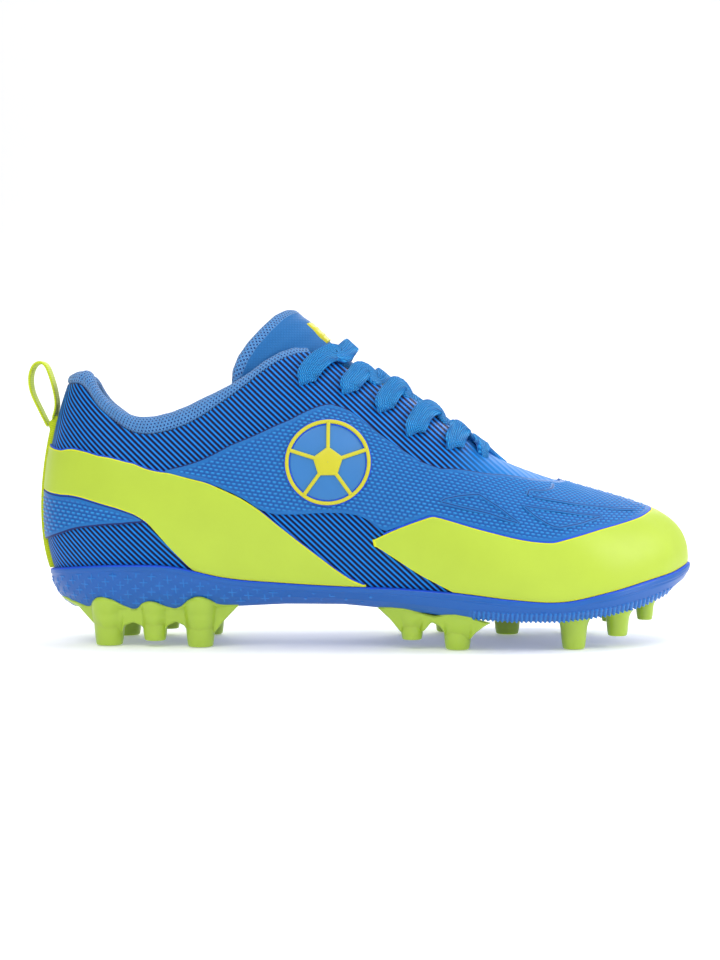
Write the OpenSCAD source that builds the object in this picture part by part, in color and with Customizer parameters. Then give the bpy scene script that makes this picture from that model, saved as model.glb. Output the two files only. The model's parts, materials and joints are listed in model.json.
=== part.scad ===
// Moulded-stud soccer cleat, right foot, youth size.
// Right-handed frame, millimetres: +X towards the toe, +Z up, +Y towards the medial side (big toe side).
// Z = 0 is the plane of the longest stud tips.

/* [Whole shoe] */
// Overall scale of the shoe, 1 is European size 35
shoe_scale = 1; // [0.85:0.01:1.3]
// Thickness of the striped synthetic base of the upper
base_t = 1.2; // [0.8:0.1:1.6]
// Gap left between two neighbouring layers of the upper
layer_gap = 0.35; // [0.2:0.05:0.5]
// Thickness of the printed and embossed overlays
overlay_t = 0.6; // [0.3:0.1:1]

/* [Outsole] */
// Height of the flat underside of the plate at the heel
plate_heel_z = 13; // [10:0.5:16]
// How far the side wall of the plate bulges outwards
wall_bulge = 2.2; // [0.5:0.1:4]
// Thickness of the lip that grips the upper
lip_t = 1.1; // [0.6:0.1:2]
// Depth of the pocket under the heel for the foam wedge
pocket_depth = 6; // [0:0.5:7]
// Number of sides of each stud
stud_sides = 16; // [12:2:32]
// Scale of the stud tip radius
stud_r = 1; // [0.8:0.05:1.2]

/* [Collar and tongue] */
// How far the padded collar rolls up above the edge of the base
roll_h = 1; // [0.5:0.05:1.5]
// Thickness of the tongue padding
tongue_foam_t = 2.4; // [1:0.1:5]
// Thickness of the tongue skin
tongue_skin_t = 0.9; // [0.5:0.1:1.5]

/* [Lace] */
// Width of the flat lace
lace_w = 6.6; // [4:0.2:9]
// Thickness of the lace
lace_t = 2.1; // [1.4:0.1:3]
// Width of the lace squeezed inside an eyelet
lace_hole_w = 3.7; // [3:0.1:5]
// Diameter of an eyelet
eyelet_d = 5.8; // [4.8:0.1:6.5]

/* [Sockliner] */
// Thickness of the sockliner foam
sock_t = 3; // [2:0.5:6]
// Thickness of the strobel board
board_t = 1.1; // [0.8:0.1:2]

/* [Hidden] */
// middle of the box round the shoe, so the origin sits under its centre
mid_x = 113.92; mid_y = -0.03;
eps = 0.001;

// ---- shape of the upper -------------------------------------------------
// Each row is one section of the lateral side, from the heel to the toe:
// feather edge, lower handle, upper handle, topline. X and Z are shared with the
// medial side, the Y of the medial side is in the second table.
LAT = [
 [[6.5,0,21],[-3,0,38],[1,0,70],[8.8,0,91.7]],
 [[9.5,-13.5,21.5],[1,-17.5,39],[4.5,-13,71],[11,-8.5,92]],
 [[19,-22.5,22.5],[13.5,-27.5,41],[12.5,-21,71],[16,-15,91]],
 [[33,-27,23.5],[29,-33,40],[25,-28.5,66],[24,-21,82]],
 [[50,-29,23],[48,-35,38],[40,-32,60],[37,-26.5,74.4]],
 [[68,-29,20.5],[66.5,-36,38],[57,-34,63],[53,-28,77.3]],
 [[88,-30,19.5],[86,-38,40],[74.5,-35,72],[69,-26.5,87.4]],
 [[108,-32.5,18.8],[105,-41,42],[92,-33,83],[86,-22,100]],
 [[128,-36.5,17.8],[124,-44,43],[107,-31,87],[99,-15,102.8]],
 [[148,-40.5,16],[143,-47,42],[123,-31,82],[113,-13,95.5]],
 [[166,-41.5,14],[161,-48,38],[138,-31,76],[128,-12.5,89.3]],
 [[183,-39,13.5],[179,-46,37],[152,-30,67],[141,-11.5,80.3]],
 [[200,-33,15.5],[198,-40,40],[165,-25,61],[151.5,-9.5,73]],
 [[214,-22.5,18.5],[215,-28,45],[180,-18,54],[158,-6,68.6]],
 [[224.5,-10.5,21.5],[229,-13,50],[194,-9,49],[160.8,-3,66.8]],
 [[231,4,24],[236.5,4,53],[202,2.5,47.5],[161.5,0.5,66.2]]];
MY = [[0,0,0,0],[13.5,17.5,13,8.5],[22,27,21,15],[26,32,28,21],[27,33,31,26.5],[26,33,33,28],
 [25.5,34,34,26.5],[27,36,32,22],[31,39,30.5,15],[36,43,31,13],[40,47,31,12.5],[41.5,48,31,11.5],
 [38,44.5,27.5,10],[30,35,21,6.8],[18.5,20.5,13,4],[4,4,2.5,0.5]];
ROWS = [for (k=[0:29]) k<=15 ? LAT[k] : [for (c=[0:3]) [LAT[30-k][c][0], MY[30-k][c], LAT[30-k][c][2]]]];
// lip height of the outsole and lower edge of its wall, per section
LIP = [26.2,27,28.2,29,28.6,24.7,23,22,21.6,20.2,18,16.9,19.8,23,25.4,27.9];
GL = [[10,0,0],[13,-11,0],[21,-18.5,0],[34,-23,0],[50,-24.5,0],[68,-24.5,0],[88,-25,0],[108,-27.5,0],
 [128,-32.5,0],[148,-37.5,0],[166,-39,0],[183,-37,0],[199,-31.5,0],[212,-22,0],[221.5,-10.5,0],[227,4,0]];
GM = [0,11,18.5,22.5,23,20.5,19.5,22,28,33.5,37.5,39,36,28.5,18,4];
// height of the underside of the plate along the length
PZ = [[0,0],[50,0.2],[68,1.2],[88,2.2],[108,2.3],[128,0.8],[148,-1.5],[166,-2.6],[183,-2.8],[199,-1.2],[212,1.2],[221.5,4.2],[228,7.4],[240,10]];

function mod(a,n) = a - n*floor(a/n);
function cr4(a,b,c,d,t) = 0.5*((2*b)+(c-a)*t+(2*a-5*b+4*c-d)*t*t+(3*b-a-3*c+d)*t*t*t);
function unit(v) = v/norm(v);
function mix(a,b,t) = a+(b-a)*t;
function ss(x) = let(y=max(0,min(1,x))) y*y*(3-2*y);
// periodic spline through the 30 sections
function ctrl(u) = let(t=mod(u,2)*15, i=floor(t), f=t-i)
  cr4(ROWS[(i+29)%30],ROWS[i%30],ROWS[(i+1)%30],ROWS[(i+2)%30],f);
function bez(c,v) = let(w=1-v) c[0]*w*w*w+c[1]*3*w*w*v+c[2]*3*w*v*v+c[3]*v*v*v;
function S(u,v) = bez(ctrl(u),v);
function dbez(c,v) = let(w=1-v) 3*((c[1]-c[0])*w*w+(c[2]-c[1])*2*w*v+(c[3]-c[2])*v*v);
function N(u,v) = unit(cross(S(u+eps,v)-S(u-eps,v), dbez(ctrl(u),v)));
function M(u,v) = unit(dbez(ctrl(u),v));
function P(u,v,d) = S(u,v)+N(u,v)*d;
// beyond the topline the surface runs on straight
function Q(u,m,n) = m<=0 ? P(u, max(0.03,1+m/norm(dbez(ctrl(u),0.9))), n) : S(u,1)+M(u,0.98)*m+N(u,0.98)*n;
function per(tab,u) = let(t=mod(u,2)*15, s=t<=15?t:30-t, i=min(14,floor(s)), f=s-i)
  cr4(tab[abs(i-1)],tab[i],tab[i+1],tab[i+2>15?14:i+2],f);
function lipz(u) = per(LIP,u);
function solve(c,z,a,b,n) = n==0 ? (a+b)/2 : let(m=(a+b)/2) bez(c,m)[2]<z ? solve(c,z,m,b,n-1) : solve(c,z,a,m,n-1);
function vlip(u) = solve(ctrl(u),lipz(u),0,0.3,12);
function grow(k) = k<=15 ? GL[k] : [GL[30-k][0],GM[30-k],0];
function pz(x) = plate_heel_z+lookup(x,PZ);
function G(u) = let(t=mod(u,2)*15,i=floor(t),f=t-i,g=cr4(grow((i+29)%30),grow(i%30),grow((i+1)%30),grow((i+2)%30),f))
  [g[0],g[1],pz(g[0])];

// ---- solids from grids --------------------------------------------------
// A is the outer face and B the inner face of a sheet, both as rows of points
module slab(A,B,wrap=false) {
  n=len(A); m=len(A[0]); o=n*m;
  a=function(i,j) (i%n)*m+j; b=function(i,j) o+(i%n)*m+j;
  rows = wrap ? n-1 : n-2;
  polyhedron([for (r=A) each r, for (r=B) each r],
   [for (i=[0:rows], j=[0:m-2]) each [[a(i,j),a(i,j+1),a(i+1,j+1)],[a(i,j),a(i+1,j+1),a(i+1,j)],
      [b(i,j),b(i+1,j+1),b(i,j+1)],[b(i,j),b(i+1,j),b(i+1,j+1)]],
    for (i=[0:rows]) each [[a(i,0),a(i+1,0),b(i+1,0)],[a(i,0),b(i+1,0),b(i,0)],
      [a(i+1,m-1),a(i,m-1),b(i,m-1)],[a(i+1,m-1),b(i,m-1),b(i+1,m-1)]],
    if (!wrap) for (j=[0:m-2]) each [[a(0,j+1),a(0,j),b(0,j)],[a(0,j+1),b(0,j),b(0,j+1)],
      [a(n-1,j),a(n-1,j+1),b(n-1,j+1)],[a(n-1,j),b(n-1,j+1),b(n-1,j)]]], convexity=8);
}
// closed solid from a stack of rings; the first and the last ring are folded flat on the centre line
module zipped(R) {
  n=len(R[0]); h=n/2; L=len(R)-1; w=(L-1)*n;
  id=function(r,k) let(q=k%n) r==0 ? min(q,n-q) : r==L ? h+1+w+min(q,n-q) : h+1+(r-1)*n+q;
  polyhedron([for (k=[0:h]) R[0][k], for (r=[1:L-1]) each R[r], for (k=[0:h]) R[L][k]],
   [for (r=[0:L-1], k=[0:n-1]) let(a=id(r,k),b=id(r,k+1),c=id(r+1,k+1),d=id(r+1,k)) each [[a,b,c],[a,c,d]]], convexity=8);
}
// u lines shared by every layer, with the two ends put in exactly
du = 1/45;
function ulines(a,b) = [a, for (k=[ceil(a/du+0.3):floor(b/du-0.3)]) k*du, b];
// sheet on the upper between the curves lo and hi (functions of u), from height d0 to d1
module panel(u0,u1,lo,hi,nv,d0,d1,step=1) {
  U0=ulines(u0,u1); U=step==1 ? U0 : [for (i=[0:len(U0)-1]) if (i%step==0 || i==len(U0)-1) U0[i]];
  slab([for (u=U) [for (j=[0:nv]) P(u,mix(lo(u),hi(u),j/nv),d1)]],
       [for (u=U) [for (j=[0:nv]) P(u,mix(lo(u),hi(u),j/nv),d0)]]);
}
// sheet on the upper along the given lines
module sheet(u0,u1,V,d0,d1) slab([for (u=ulines(u0,u1)) [for (v=V) P(u,v,d1)]],[for (u=ulines(u0,u1)) [for (v=V) P(u,v,d0)]]);
// flat ribbon along C, a list of [point, face normal, width, thickness], each length cut in q
function crp(C,t,k) = let(n=len(C),i=min(n-2,floor(t)),f=t-i,g=function(j) C[max(0,min(n-1,j))][k])
  cr4(i==0?2*g(0)-g(1):g(i-1), g(i), g(i+1), i+2>n-1?2*g(n-1)-g(n-2):g(i+2), f);
function lin(C,t,k) = let(i=min(len(C)-2,floor(t))) mix(C[i][k],C[i+1][k],t-i);
function ribbon_rings(C,q) = let(T=[for (i=[0:(len(C)-1)*q]) i/q], X=[for (t=T) crp(C,t,0)], n=len(T))
  [for (i=[0:n-1]) let(d=unit(X[min(n-1,i+1)]-X[max(0,i-1)]), c=crp(C,T[i],1), nn=unit(c-d*(c*d)), w=cross(d,nn),
    a=lin(C,T[i],2)/2, b=lin(C,T[i],3)/2)
    [for (s=[[1,0],[.74,1],[-.74,1],[-1,0],[-.74,-1],[.74,-1]]) X[i]+w*a*s[0]+nn*b*s[1]]];
module ribbon(C,q) {
  R=ribbon_rings(C,q); n=len(R);
  polyhedron([for (r=R) each r],
   [for (i=[0:n-2],k=[0:5]) let(a=i*6+k,b=i*6+(k+1)%6) each [[a,b,b+6],[a,b+6,a+6]],
    [for (k=[5:-1:0]) k], [for (k=[0:5]) (n-1)*6+k]], convexity=6);
}

// ---- outsole ------------------------------------------------------------
NK = 90;
function ring(f) = [for (k=[0:NK-1]) f(k*2/NK)];
function edge(u,inset) = let(p=P(u,0,-inset)) [p[0],p[1],0];
function mirror_y(p,q) = (p[1]+q[1])/2;
function spine(u,inset) = let(a=edge(u,inset),b=edge(2-u,inset)) [118+(a[0]-118)*0.93,(a[1]+b[1])/2,0];
function at(p,z) = [p[0],p[1],z];
FZ = [for (k=[0:60]) let(c=ctrl(k/60)[0]) [c[0],c[2]]];
function fz(x) = lookup(x,FZ);
function pocket(x) = pocket_depth*(1-ss((x-52)/34))*(0.86+0.14*ss(x/33));
function onto(p,d,k=0) = [p[0],p[1],fz(p[0])-d-k*pocket(p[0])];
function wallpt(u,t,b) = let(a=P(u,vlip(u),lip_t+0.15),g=G(u),n=N(u,0.03)) mix(a,g,t)+[n[0],n[1],0]*b;
color_plate = [0.23,0.46,0.72]; color_lime = [0.70,0.82,0.26]; color_base=[0.15,0.42,0.75];
module outsole_plate() color(color_plate) translate([-mid_x,-mid_y,0]) scale(shoe_scale)
  zipped([
   ring(function(u) onto(spine(u,0),0.3,1)),
   ring(function(u) onto(mix(spine(u,0),edge(u,0),0.78),0.3,1)),
   ring(function(u) onto(mix(spine(u,0),edge(u,0),0.80),0.3)),
   ring(function(u) onto(P(u,0,0.15),0.3)),
   ring(function(u) P(u,vlip(u)*0.5,0.15)),
   ring(function(u) P(u,vlip(u),0.15)),
   ring(function(u) P(u,vlip(u),lip_t+0.15)),
   ring(function(u) wallpt(u,0.3,wall_bulge*0.85)),
   ring(function(u) wallpt(u,0.62,wall_bulge)),
   ring(function(u) wallpt(u,0.88,wall_bulge*0.5)),
   ring(function(u) G(u)),
   ring(function(u) let(g=G(u),s=spine(u,0),c=mix(g,s,0.5)) at(c,pz(c[0]))),
   ring(function(u) let(s=spine(u,0)) at(s,pz(s[0])))]);

// ---- studs --------------------------------------------------------------
// x, y, tip radius, tip height, base radius
function under(x) = pz(x)-0.25;
module stud(x,y,r,z,rb) {
  n=stud_sides; R=r*stud_r; top=under(x);
  H=[[1,rb],[0.85,mix(rb,R,0.4)],[0.6,R*1.3],[0.07,R*1.0],[0,R*0.86]];
  rr=[for (h=H) [for (k=[0:n-1]) let(a=360*k/n,X=x+h[1]*cos(a),Y=y+h[1]*sin(a))
      [X,Y,h[0]==1?under(X):mix(z,under(X)-1,h[0])*(h[0]>0.8?1:1)]]];
  polyhedron([for (q=rr) each q],
   [[for (k=[n-1:-1:0]) k], [for (k=[0:n-1]) (len(H)-1)*n+k],
    for (i=[0:len(H)-2],k=[0:n-1]) let(a=i*n+k,b=i*n+(k+1)%n) each [[a,b,b+n],[a,b+n,a+n]]], convexity=4);
}
// web under the plate between two points, follows the underside
module web(x0,y0,x1,y1,w0,w1,t) {
  m=4; d=[x1-x0,y1-y0]; nn=[-d[1],d[0]]/norm(d);
  c=[for (i=[0:m]) [x0,y0]+d*i/m]; ww=[for (i=[0:m]) mix(w0,w1,i/m)-1.2*sin(180*i/m)];
  A=[for (i=[0:m]) [for (s=[-1,1]) let(p=c[i]+nn*s*ww[i]/2) [p[0],p[1],under(p[0])]]];
  B=[for (i=[0:m]) [for (s=[-1,1]) let(p=c[i]+nn*s*ww[i]*0.42) [p[0],p[1],under(p[0])-t]]];
  slab(A,B);
}
module lime() color(color_lime) translate([-mid_x,-mid_y,0]) scale(shoe_scale) children();
module heel_studs() lime() {
  stud(25.5,-17,4.7,0,6.2); stud(42,-21,3.8,2,5); stud(58,-22.3,4.5,0,5.6);
  stud(28,16,4.7,0,6.2); stud(43,19.3,3.8,2,5); stud(58.5,19,4.5,0,5.4);
  web(25.5,-16.5,42,-19.5,9,8,2.4); web(42,-19.5,58,-20.5,8,8.5,2.4);
  web(28,15.5,43,18,9,8,2.4); web(43,18,58.5,17.8,8,8,2.4); web(24.5,-14.5,26.5,14,7,7,2.2);
}
module studs_rear_lateral() lime() { stud(131.8,-28.6,3.5,3.1,5); stud(147.5,-31,4.2,0,5.8); web(131.8,-28,147.5,-30.4,7,8,2.2); }
module studs_rear_medial() lime() { stud(131,23,3.4,3,5); stud(146.5,27.6,4.1,0,5.6); web(131,22.5,146.5,27,7,8,2.2); }
module stud_ball_medial() lime() stud(168.3,19.5,4.2,0,6);
module stud_front_lateral() lime() stud(187.8,-29.4,3.9,0,5.6);
module stud_front_medial() lime() stud(193,26,3.8,0,5.6);
module stud_tip_lateral() lime() stud(203.9,-22,3.4,3.7,5.2);
module stud_tip_medial() lime() stud(206.6,19,3.3,4.6,5.2);
module stud_toe() lime() stud(215.3,-8.5,2.7,8,4.2);

// ---- inner sole parts ---------------------------------------------------
// ladder across the shoe from the lateral to the medial edge
module ladder(u0,u1,inset,z0,z1,m,f=1,cup=0) {
  U0=ulines(u0,u1); U=[for (i=[0:len(U0)-1]) if (i<3 || i>len(U0)-4 || i%2==1) U0[i]];
  row=function(u,z,c) let(a=edge(u,inset),b=edge(2-u,inset),s=(a+b)/2) [for (j=[0:m]) let(t=2*j/m-1,
     p=t<0?mix(s,a,-t*f):mix(s,b,t*f)) at(p,fz(p[0])+z+c*pow(abs(t),6))];
  slab([for (u=U) row(u,z1,cup)],[for (u=U) row(u,z0,cup)]);
}
function heel_row(u,fr,d,k,m) = let(s=spine(u,0),a=edge(u,0),b=edge(2-u,0)) [for (j=[0:m]) let(t=2*j/m-1)
   onto(t<0?mix(s,mix(s,a,fr),-t):mix(s,mix(s,b,fr),t),d,k)];
module heel_wedge() color([0.82,0.83,0.80]) translate([-mid_x,-mid_y,0]) scale(shoe_scale) {
  U=ulines(0.03,0.355);
  slab([for (u=U) heel_row(u,0.745,0.4,0,6)],[for (u=U) heel_row(u,0.745,0,0.985,6)]);
}
module insole_board() color([0.85,0.80,0.68]) translate([-mid_x,-mid_y,0]) scale(shoe_scale)
  ladder(0.014,0.984,1.7,-0.1,-0.1+board_t,4);
sock_in = 5.3;
module sockliner_foam() color([0.20,0.22,0.26]) translate([-mid_x,-mid_y,0]) scale(shoe_scale)
  ladder(0.02,0.978,sock_in,board_t+0.15,board_t+0.15+sock_t,6,1,1.2);
module sockliner_cover() color([0.16,0.40,0.72]) translate([-mid_x,-mid_y,0]) scale(shoe_scale)
  ladder(0.02,0.978,sock_in,board_t+0.25+sock_t,board_t+0.95+sock_t,6,1,1.2);

// ---- upper --------------------------------------------------------------
VB = [0,.05,.12,.21,.3,.4,.52,.68,.84,1];
EYE = [[.496,.862],[.559,.826],[.609,.806],[.639,.728],[.703,.750],[.778,.800]];
module eyelets(d0,d1) for (s=[0,1],e=EYE) { u=s?2-e[0]:e[0]; n=N(u,e[1]); a=P(u,e[1],d0); b=P(u,e[1],d1);
  ang=acos(n[2]); az=atan2(n[1],n[0]);
  translate(a) rotate([0,ang,az]) cylinder(d=eyelet_d,h=d1-d0,$fn=10); }
module upper_base() color(color_base) translate([-mid_x,-mid_y,0]) scale(shoe_scale) difference() {
  slab([for (k=[0:89]) [for (v=VB) P(k*du,v,0)]],[for (k=[0:89]) [for (v=VB) P(k*du,v,-base_t)]],true);
  eyelets(-2.4,1.2);
}
o0 = layer_gap; o1 = layer_gap+overlay_t;
function fold(u) = let(w=mod(u,2)) w>1?2-w:w;
WH=[[0,.70],[.1,.68],[.185,.70],[.25,.76],[.2975,.715],[.34,.615],[.375,.485],[.3925,.405],[.4075,.33],[.425,.255],[.4425,.19],[.46,.13],[.4775,.08],[.495,.052]];
WL=[[0,.495],[.105,.455],[.2075,.44],[.2325,.43],[.2475,.40],[.2525,.37],[.27,.245],[.29,.12],[.31,.06],[.5,.03]];
TH=[[.515,.234],[.6,.345],[.68,.33],[.7575,.315],[.8375,.36],[.9275,.395],[.9825,.425],[1,.445]];
TL=[[.515,.218],[.56,.115],[.5975,.052],[.62,.03],[1,.02]];
XH=[[.2925,.736],[.38,.745],[.455,.71],[.4875,.72],[.515,.725],[.5425,.70],[.575,.63],[.6175,.56],[.645,.555],[.70,.605],[.76,.655],[.825,.69],[.87,.73],[1,.80]];
XL=[[.2925,.722],[.34,.622],[.375,.492],[.3925,.412],[.4075,.38],[.4375,.355],[.49,.335],[.51,.32],[.5225,.29],[.5325,.266],[.56,.297]];
HL=[[0,.26],[.06,.265],[.1,.28],[.16,.315],[.21,.355],[.2425,.397]];
module wing_overlay() color(color_lime) translate([-mid_x,-mid_y,0]) scale(shoe_scale)
  panel(-.495,.495,function(u) max(lookup(abs(u),WL),vlip(u)+.006),function(u) max(lookup(abs(u),WH),vlip(u)+.014),4,o0,o1);
module toe_overlay() color(color_lime) translate([-mid_x,-mid_y,0]) scale(shoe_scale)
  panel(.515,1.485,function(u) max(lookup(fold(u),TL),vlip(u)+.006),function(u) lookup(fold(u),TH),4,o0,o1);
module texture_overlay() color([0.20,0.50,0.78]) translate([-mid_x,-mid_y,0]) scale(shoe_scale)
  panel(.2925,1.7075,function(u) let(w=fold(u)) w<.56?lookup(w,XL):lookup(w,TH)+.008,function(u) lookup(fold(u),XH),4,o0,o1);
module heel_texture() color([0.20,0.50,0.78]) translate([-mid_x,-mid_y,0]) scale(shoe_scale)
  panel(-.2425,.2425,function(u) lookup(abs(u),HL),function(u) lookup(abs(u),WL)-.008,2,o0,o1);
module heel_strip() color(color_lime) translate([-mid_x,-mid_y,0]) scale(shoe_scale)
  panel(-.021,.021,function(u) vlip(u)+.02,function(u) .785,10,o1+.15,o1+.75);
module heel_counter() color([0.88,0.87,0.83]) translate([-mid_x,-mid_y,0]) scale(shoe_scale)
  panel(-.36,.36,function(u) .05,function(u) .62-.34*ss((abs(u)-.16)/.2),4,-base_t-.95,-base_t-.15);
module toe_puff() color([0.88,0.87,0.83]) translate([-mid_x,-mid_y,0]) scale(shoe_scale)
  sheet(.80,1.20,[.05,.12,.21,.3,.4],-base_t-.7,-base_t-.15);
VH=[[.48,.40],[.56,.56],[.62,.60],[.75,.62],[.84,.76],[.9,.90],[1,.93]];
module vamp_lining() color([0.80,0.82,0.84]) translate([-mid_x,-mid_y,0]) scale(shoe_scale)
  panel(.50,1.50,function(u) .055,function(u) lookup(fold(u),VH),5,-base_t-1.6,-base_t-1.05,1);
module eyestay(side) { f=function(u) side<0?u:2-u; a=side<0?.53:1.09; b=side<0?.91:1.47;
  difference() {
    panel(a,b,function(u) let(w=fold(u)) lookup(w,[[.53,.80],[.6,.74],[.64,.66],[.72,.67],[.8,.72],[.91,.82]]),function(u) .985,3,-base_t-.78,-base_t-.45);
    eyelets(-3,1);
  }
}
module eyestay_backing_lateral() color([0.16,0.20,0.30]) translate([-mid_x,-mid_y,0]) scale(shoe_scale) eyestay(-1);
module eyestay_backing_medial() color([0.16,0.20,0.30]) translate([-mid_x,-mid_y,0]) scale(shoe_scale) eyestay(1);

// padded collar: outer and inner face of the mesh as [along, through] pairs measured from the topline
RO=[[-3.6,-1.5],[0.4,-1.5],[2.1,-1.0],[4.1,-1.5],[5.0,-3.3],[3.9,-5.1],[-2,-6.5],[-10,-6.4]];
RI=[[-3.6,-2.1],[0.1,-2.1],[1.8,-1.7],[3.6,-2.1],[4.25,-3.3],[3.4,-4.5],[-2,-5.85],[-10,-5.75]];
function tap(u) = 1-0.66*ss((abs(u)-.36)/.13);
function roll(u,p) = let(t=tap(u)) Q(u,p[0]*(p[0]>0?roll_h*mix(1,t,.35):(p[0]<-3.7?mix(1,.38,ss((abs(u)-.38)/.09)):1)), -1.5+(p[1]+1.5)*t);
function vlow(u) = .06+.86*ss((abs(u)-.37)/.095);
function inner(u,j,n,d) = let(t=tap(u),v0=1-10*mix(1,.38,ss((abs(u)-.38)/.09))/norm(dbez(ctrl(u),.9)),v1=min(vlow(u),v0-.004),v=mix(v0,v1,j/n),q=mix(-4.6,-6.4,ss((v-.2)/.6)))
   P(u,max(.055,v), -1.5+(q+d+1.5)*t);
CU = ulines(-.509,.509);
module collar_lining() color([0.25,0.48,0.78]) translate([-mid_x,-mid_y,0]) scale(shoe_scale)
  slab([for (u=CU) [for (p=RO) roll(u,p), for (j=[1:3]) inner(u,j,3,0)]],
       [for (u=CU) [for (p=RI) roll(u,p), for (j=[1:3]) inner(u,j,3,.65)]]);
module collar_foam() color([0.93,0.90,0.80]) translate([-mid_x,-mid_y,0]) scale(shoe_scale) {
  U=ulines(-.40,.40);
  lo=function(u) .10+.50*ss((abs(u)-.2)/.2);
  slab([for (u=U) [for (j=[0:3]) P(u,mix(lo(u),1-4.2/60,j/3),-2.6)]],
       [for (u=U) [for (j=[0:3]) let(v=mix(lo(u),1-4.2/60,j/3),q=mix(-3.4,-4.7,ss((v-.2)/.6))) P(u,v,-1.5+(q+1.5)*tap(u))]]);
}

// badge: a ring with a pentagon and five seams, a and b are millimetres along and up
function buv(side,a,b) = let(u=.485+.05375*a/14+.015*b/14,v=.525-.03*a/14+.1375*b/14) [side<0?u:2-u,v];
function bp(side,r,t,d) = let(q=buv(side,r*cos(t),r*sin(t))) P(q[0],q[1],d);
module badge(side) { b0=o1+.4; b1=o1+.95; s=side;
  T=[for (k=[0:23]) s<0?k*15:-k*15];
  slab([for (t=T) [for (r=[14,12.4]) bp(s,r,t,b1)]],[for (t=T) [for (r=[14,12.4]) bp(s,r,t,b0)]],true);
  for (k=[0:4]) {
    w=[for (t=[-1,1]) t*.55]; a0=90+72*k;
    row=function(r,d) [for (j=[0,1]) let(x=w[j]*(s<0?1:-1),q=buv(s,r*cos(a0)-x*sin(a0),r*sin(a0)+x*cos(a0))) P(q[0],q[1],d)];
    slab([for (r=[4.6,7.5,10.2,12.7]) row(r,b1)],[for (r=[4.6,7.5,10.2,12.7]) row(r,b0)]);
  }
  pts=[for (k=[0:4]) let(t=90+72*(s<0?k:-k)) bp(s,5.2,t,b1), for (k=[0:4]) let(t=90+72*(s<0?k:-k)) bp(s,5.2,t,b0), bp(s,0,0,b1), bp(s,0,0,b0)];
  polyhedron(pts,[for (k=[0:4]) let(k2=(k+1)%5) each [[k,10,k2],[k+5,k2+5,11],[k,k2,k2+5],[k,k2+5,k+5]]]);
}
module badge_lateral() color([0.84,0.84,0.22]) translate([-mid_x,-mid_y,0]) scale(shoe_scale) badge(-1);
module badge_medial() color([0.84,0.84,0.22]) translate([-mid_x,-mid_y,0]) scale(shoe_scale) badge(1);

// ---- tongue -------------------------------------------------------------
// centre line x, z, half width, depth of the curve, half angle, from the base up
TC=[[165,59.5,9,3,60],[157,64.6,12,6,66],[148,71,15,10,70],[139,78.3,17,14.5,74],[128,86,18,19,78],[118,93.6,18.5,23,82],
 [109.4,101.4,18.5,27,84],[101.5,108.6,18.8,30.5,86],[95.5,114.2,19.2,33.5,88],[89.7,118.7,19.3,35.5,88]];
TE=[[0,0],[.1,.8],[.2,2],[.35,3.4],[.55,4.3],[.7,4.7],[.82,4.3],[.92,2.8],[1,0]];
function tc(s) = let(t=min(8.9999,max(0,s*9)),i=floor(t)) cr4(i==0?2*TC[0]-TC[1]:TC[i-1],TC[i],TC[i+1],i+2>9?2*TC[9]-TC[8]:TC[i+2],t-i);
function tongue(s,a,d) = let(c=tc(s),c1=tc(min(1,s+eps)),c0=tc(max(0,s-eps)),L=unit([c1[0]-c0[0],0,c1[1]-c0[1]]),NN=[L[2],0,-L[0]],
   ph=c[4]*a,w=c[2]-d,q=c[3]-d,ex=lookup(abs(a),TE)*ss((s-.7)/.3))
   [c[0],.5*(1-s)+w*sin(ph),c[1]]-NN*(d+q*(1-cos(ph)))+L*ex;
function tnorm(s,a) = let(s1=min(1,s+eps),s0=max(0,s-eps)) unit(cross(tongue(s,a+eps,0)-tongue(s,a-eps,0),tongue(s1,a,0)-tongue(s0,a,0)));
TA=[for (i=[0:14]) -1+i/7];
t1 = tongue_skin_t+.06; t2 = t1+tongue_foam_t; t3 = t2+.06;
module tongue_skin() color([0.25,0.62,0.88]) translate([-mid_x,-mid_y,0]) scale(shoe_scale)
  slab([for (a=TA) [for (j=[0:10]) tongue(mix(.02,.957,j/10),a,0)]],[for (a=TA) [for (j=[0:10]) tongue(mix(.02,.957,j/10),a,tongue_skin_t)]]);
module tongue_foam() color([0.93,0.90,0.80]) translate([-mid_x,-mid_y,0]) scale(shoe_scale)
  slab([for (a=TA) [for (j=[0:8]) tongue(mix(.04,.955,j/8),a*.97,t1+.3)]],[for (a=TA) [for (j=[0:8]) tongue(mix(.04,.955,j/8),a*.97,t2-.3)]]);
TRO=[[.963,0],[.99,.25],[1,1.1],[1,2.6],[.99,3.8],[.965,4.1]];
TRI=[[.963,.7],[.982,.85],[.988,1.3],[.988,2.6],[.98,3.15],[.962,3.42]];
module tongue_lining() color([0.25,0.48,0.78]) translate([-mid_x,-mid_y,0]) scale(shoe_scale)
  slab([for (a=TA) [for (p=TRO) tongue(p[0],a,p[1]), for (j=[1:7]) tongue(mix(.965,.03,j/7),a,4.1)]],
       [for (a=TA) [for (p=TRI) tongue(p[0],a,p[1]), for (j=[1:7]) tongue(mix(.962,.03,j/7),a,3.42)]]);
module tongue_mark() color([0.84,0.84,0.22]) translate([-mid_x,-mid_y,0]) scale(shoe_scale)
  slab([for (a=[-.2,-.1,0,.1,.2]) [for (s=[.80,.84,.88,.92]) tongue(s,a,-.75)]],[for (a=[-.2,-.1,0,.1,.2]) [for (s=[.80,.84,.88,.92]) tongue(s,a,-.2)]]);

lace_cuts = 1.5;
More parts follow.
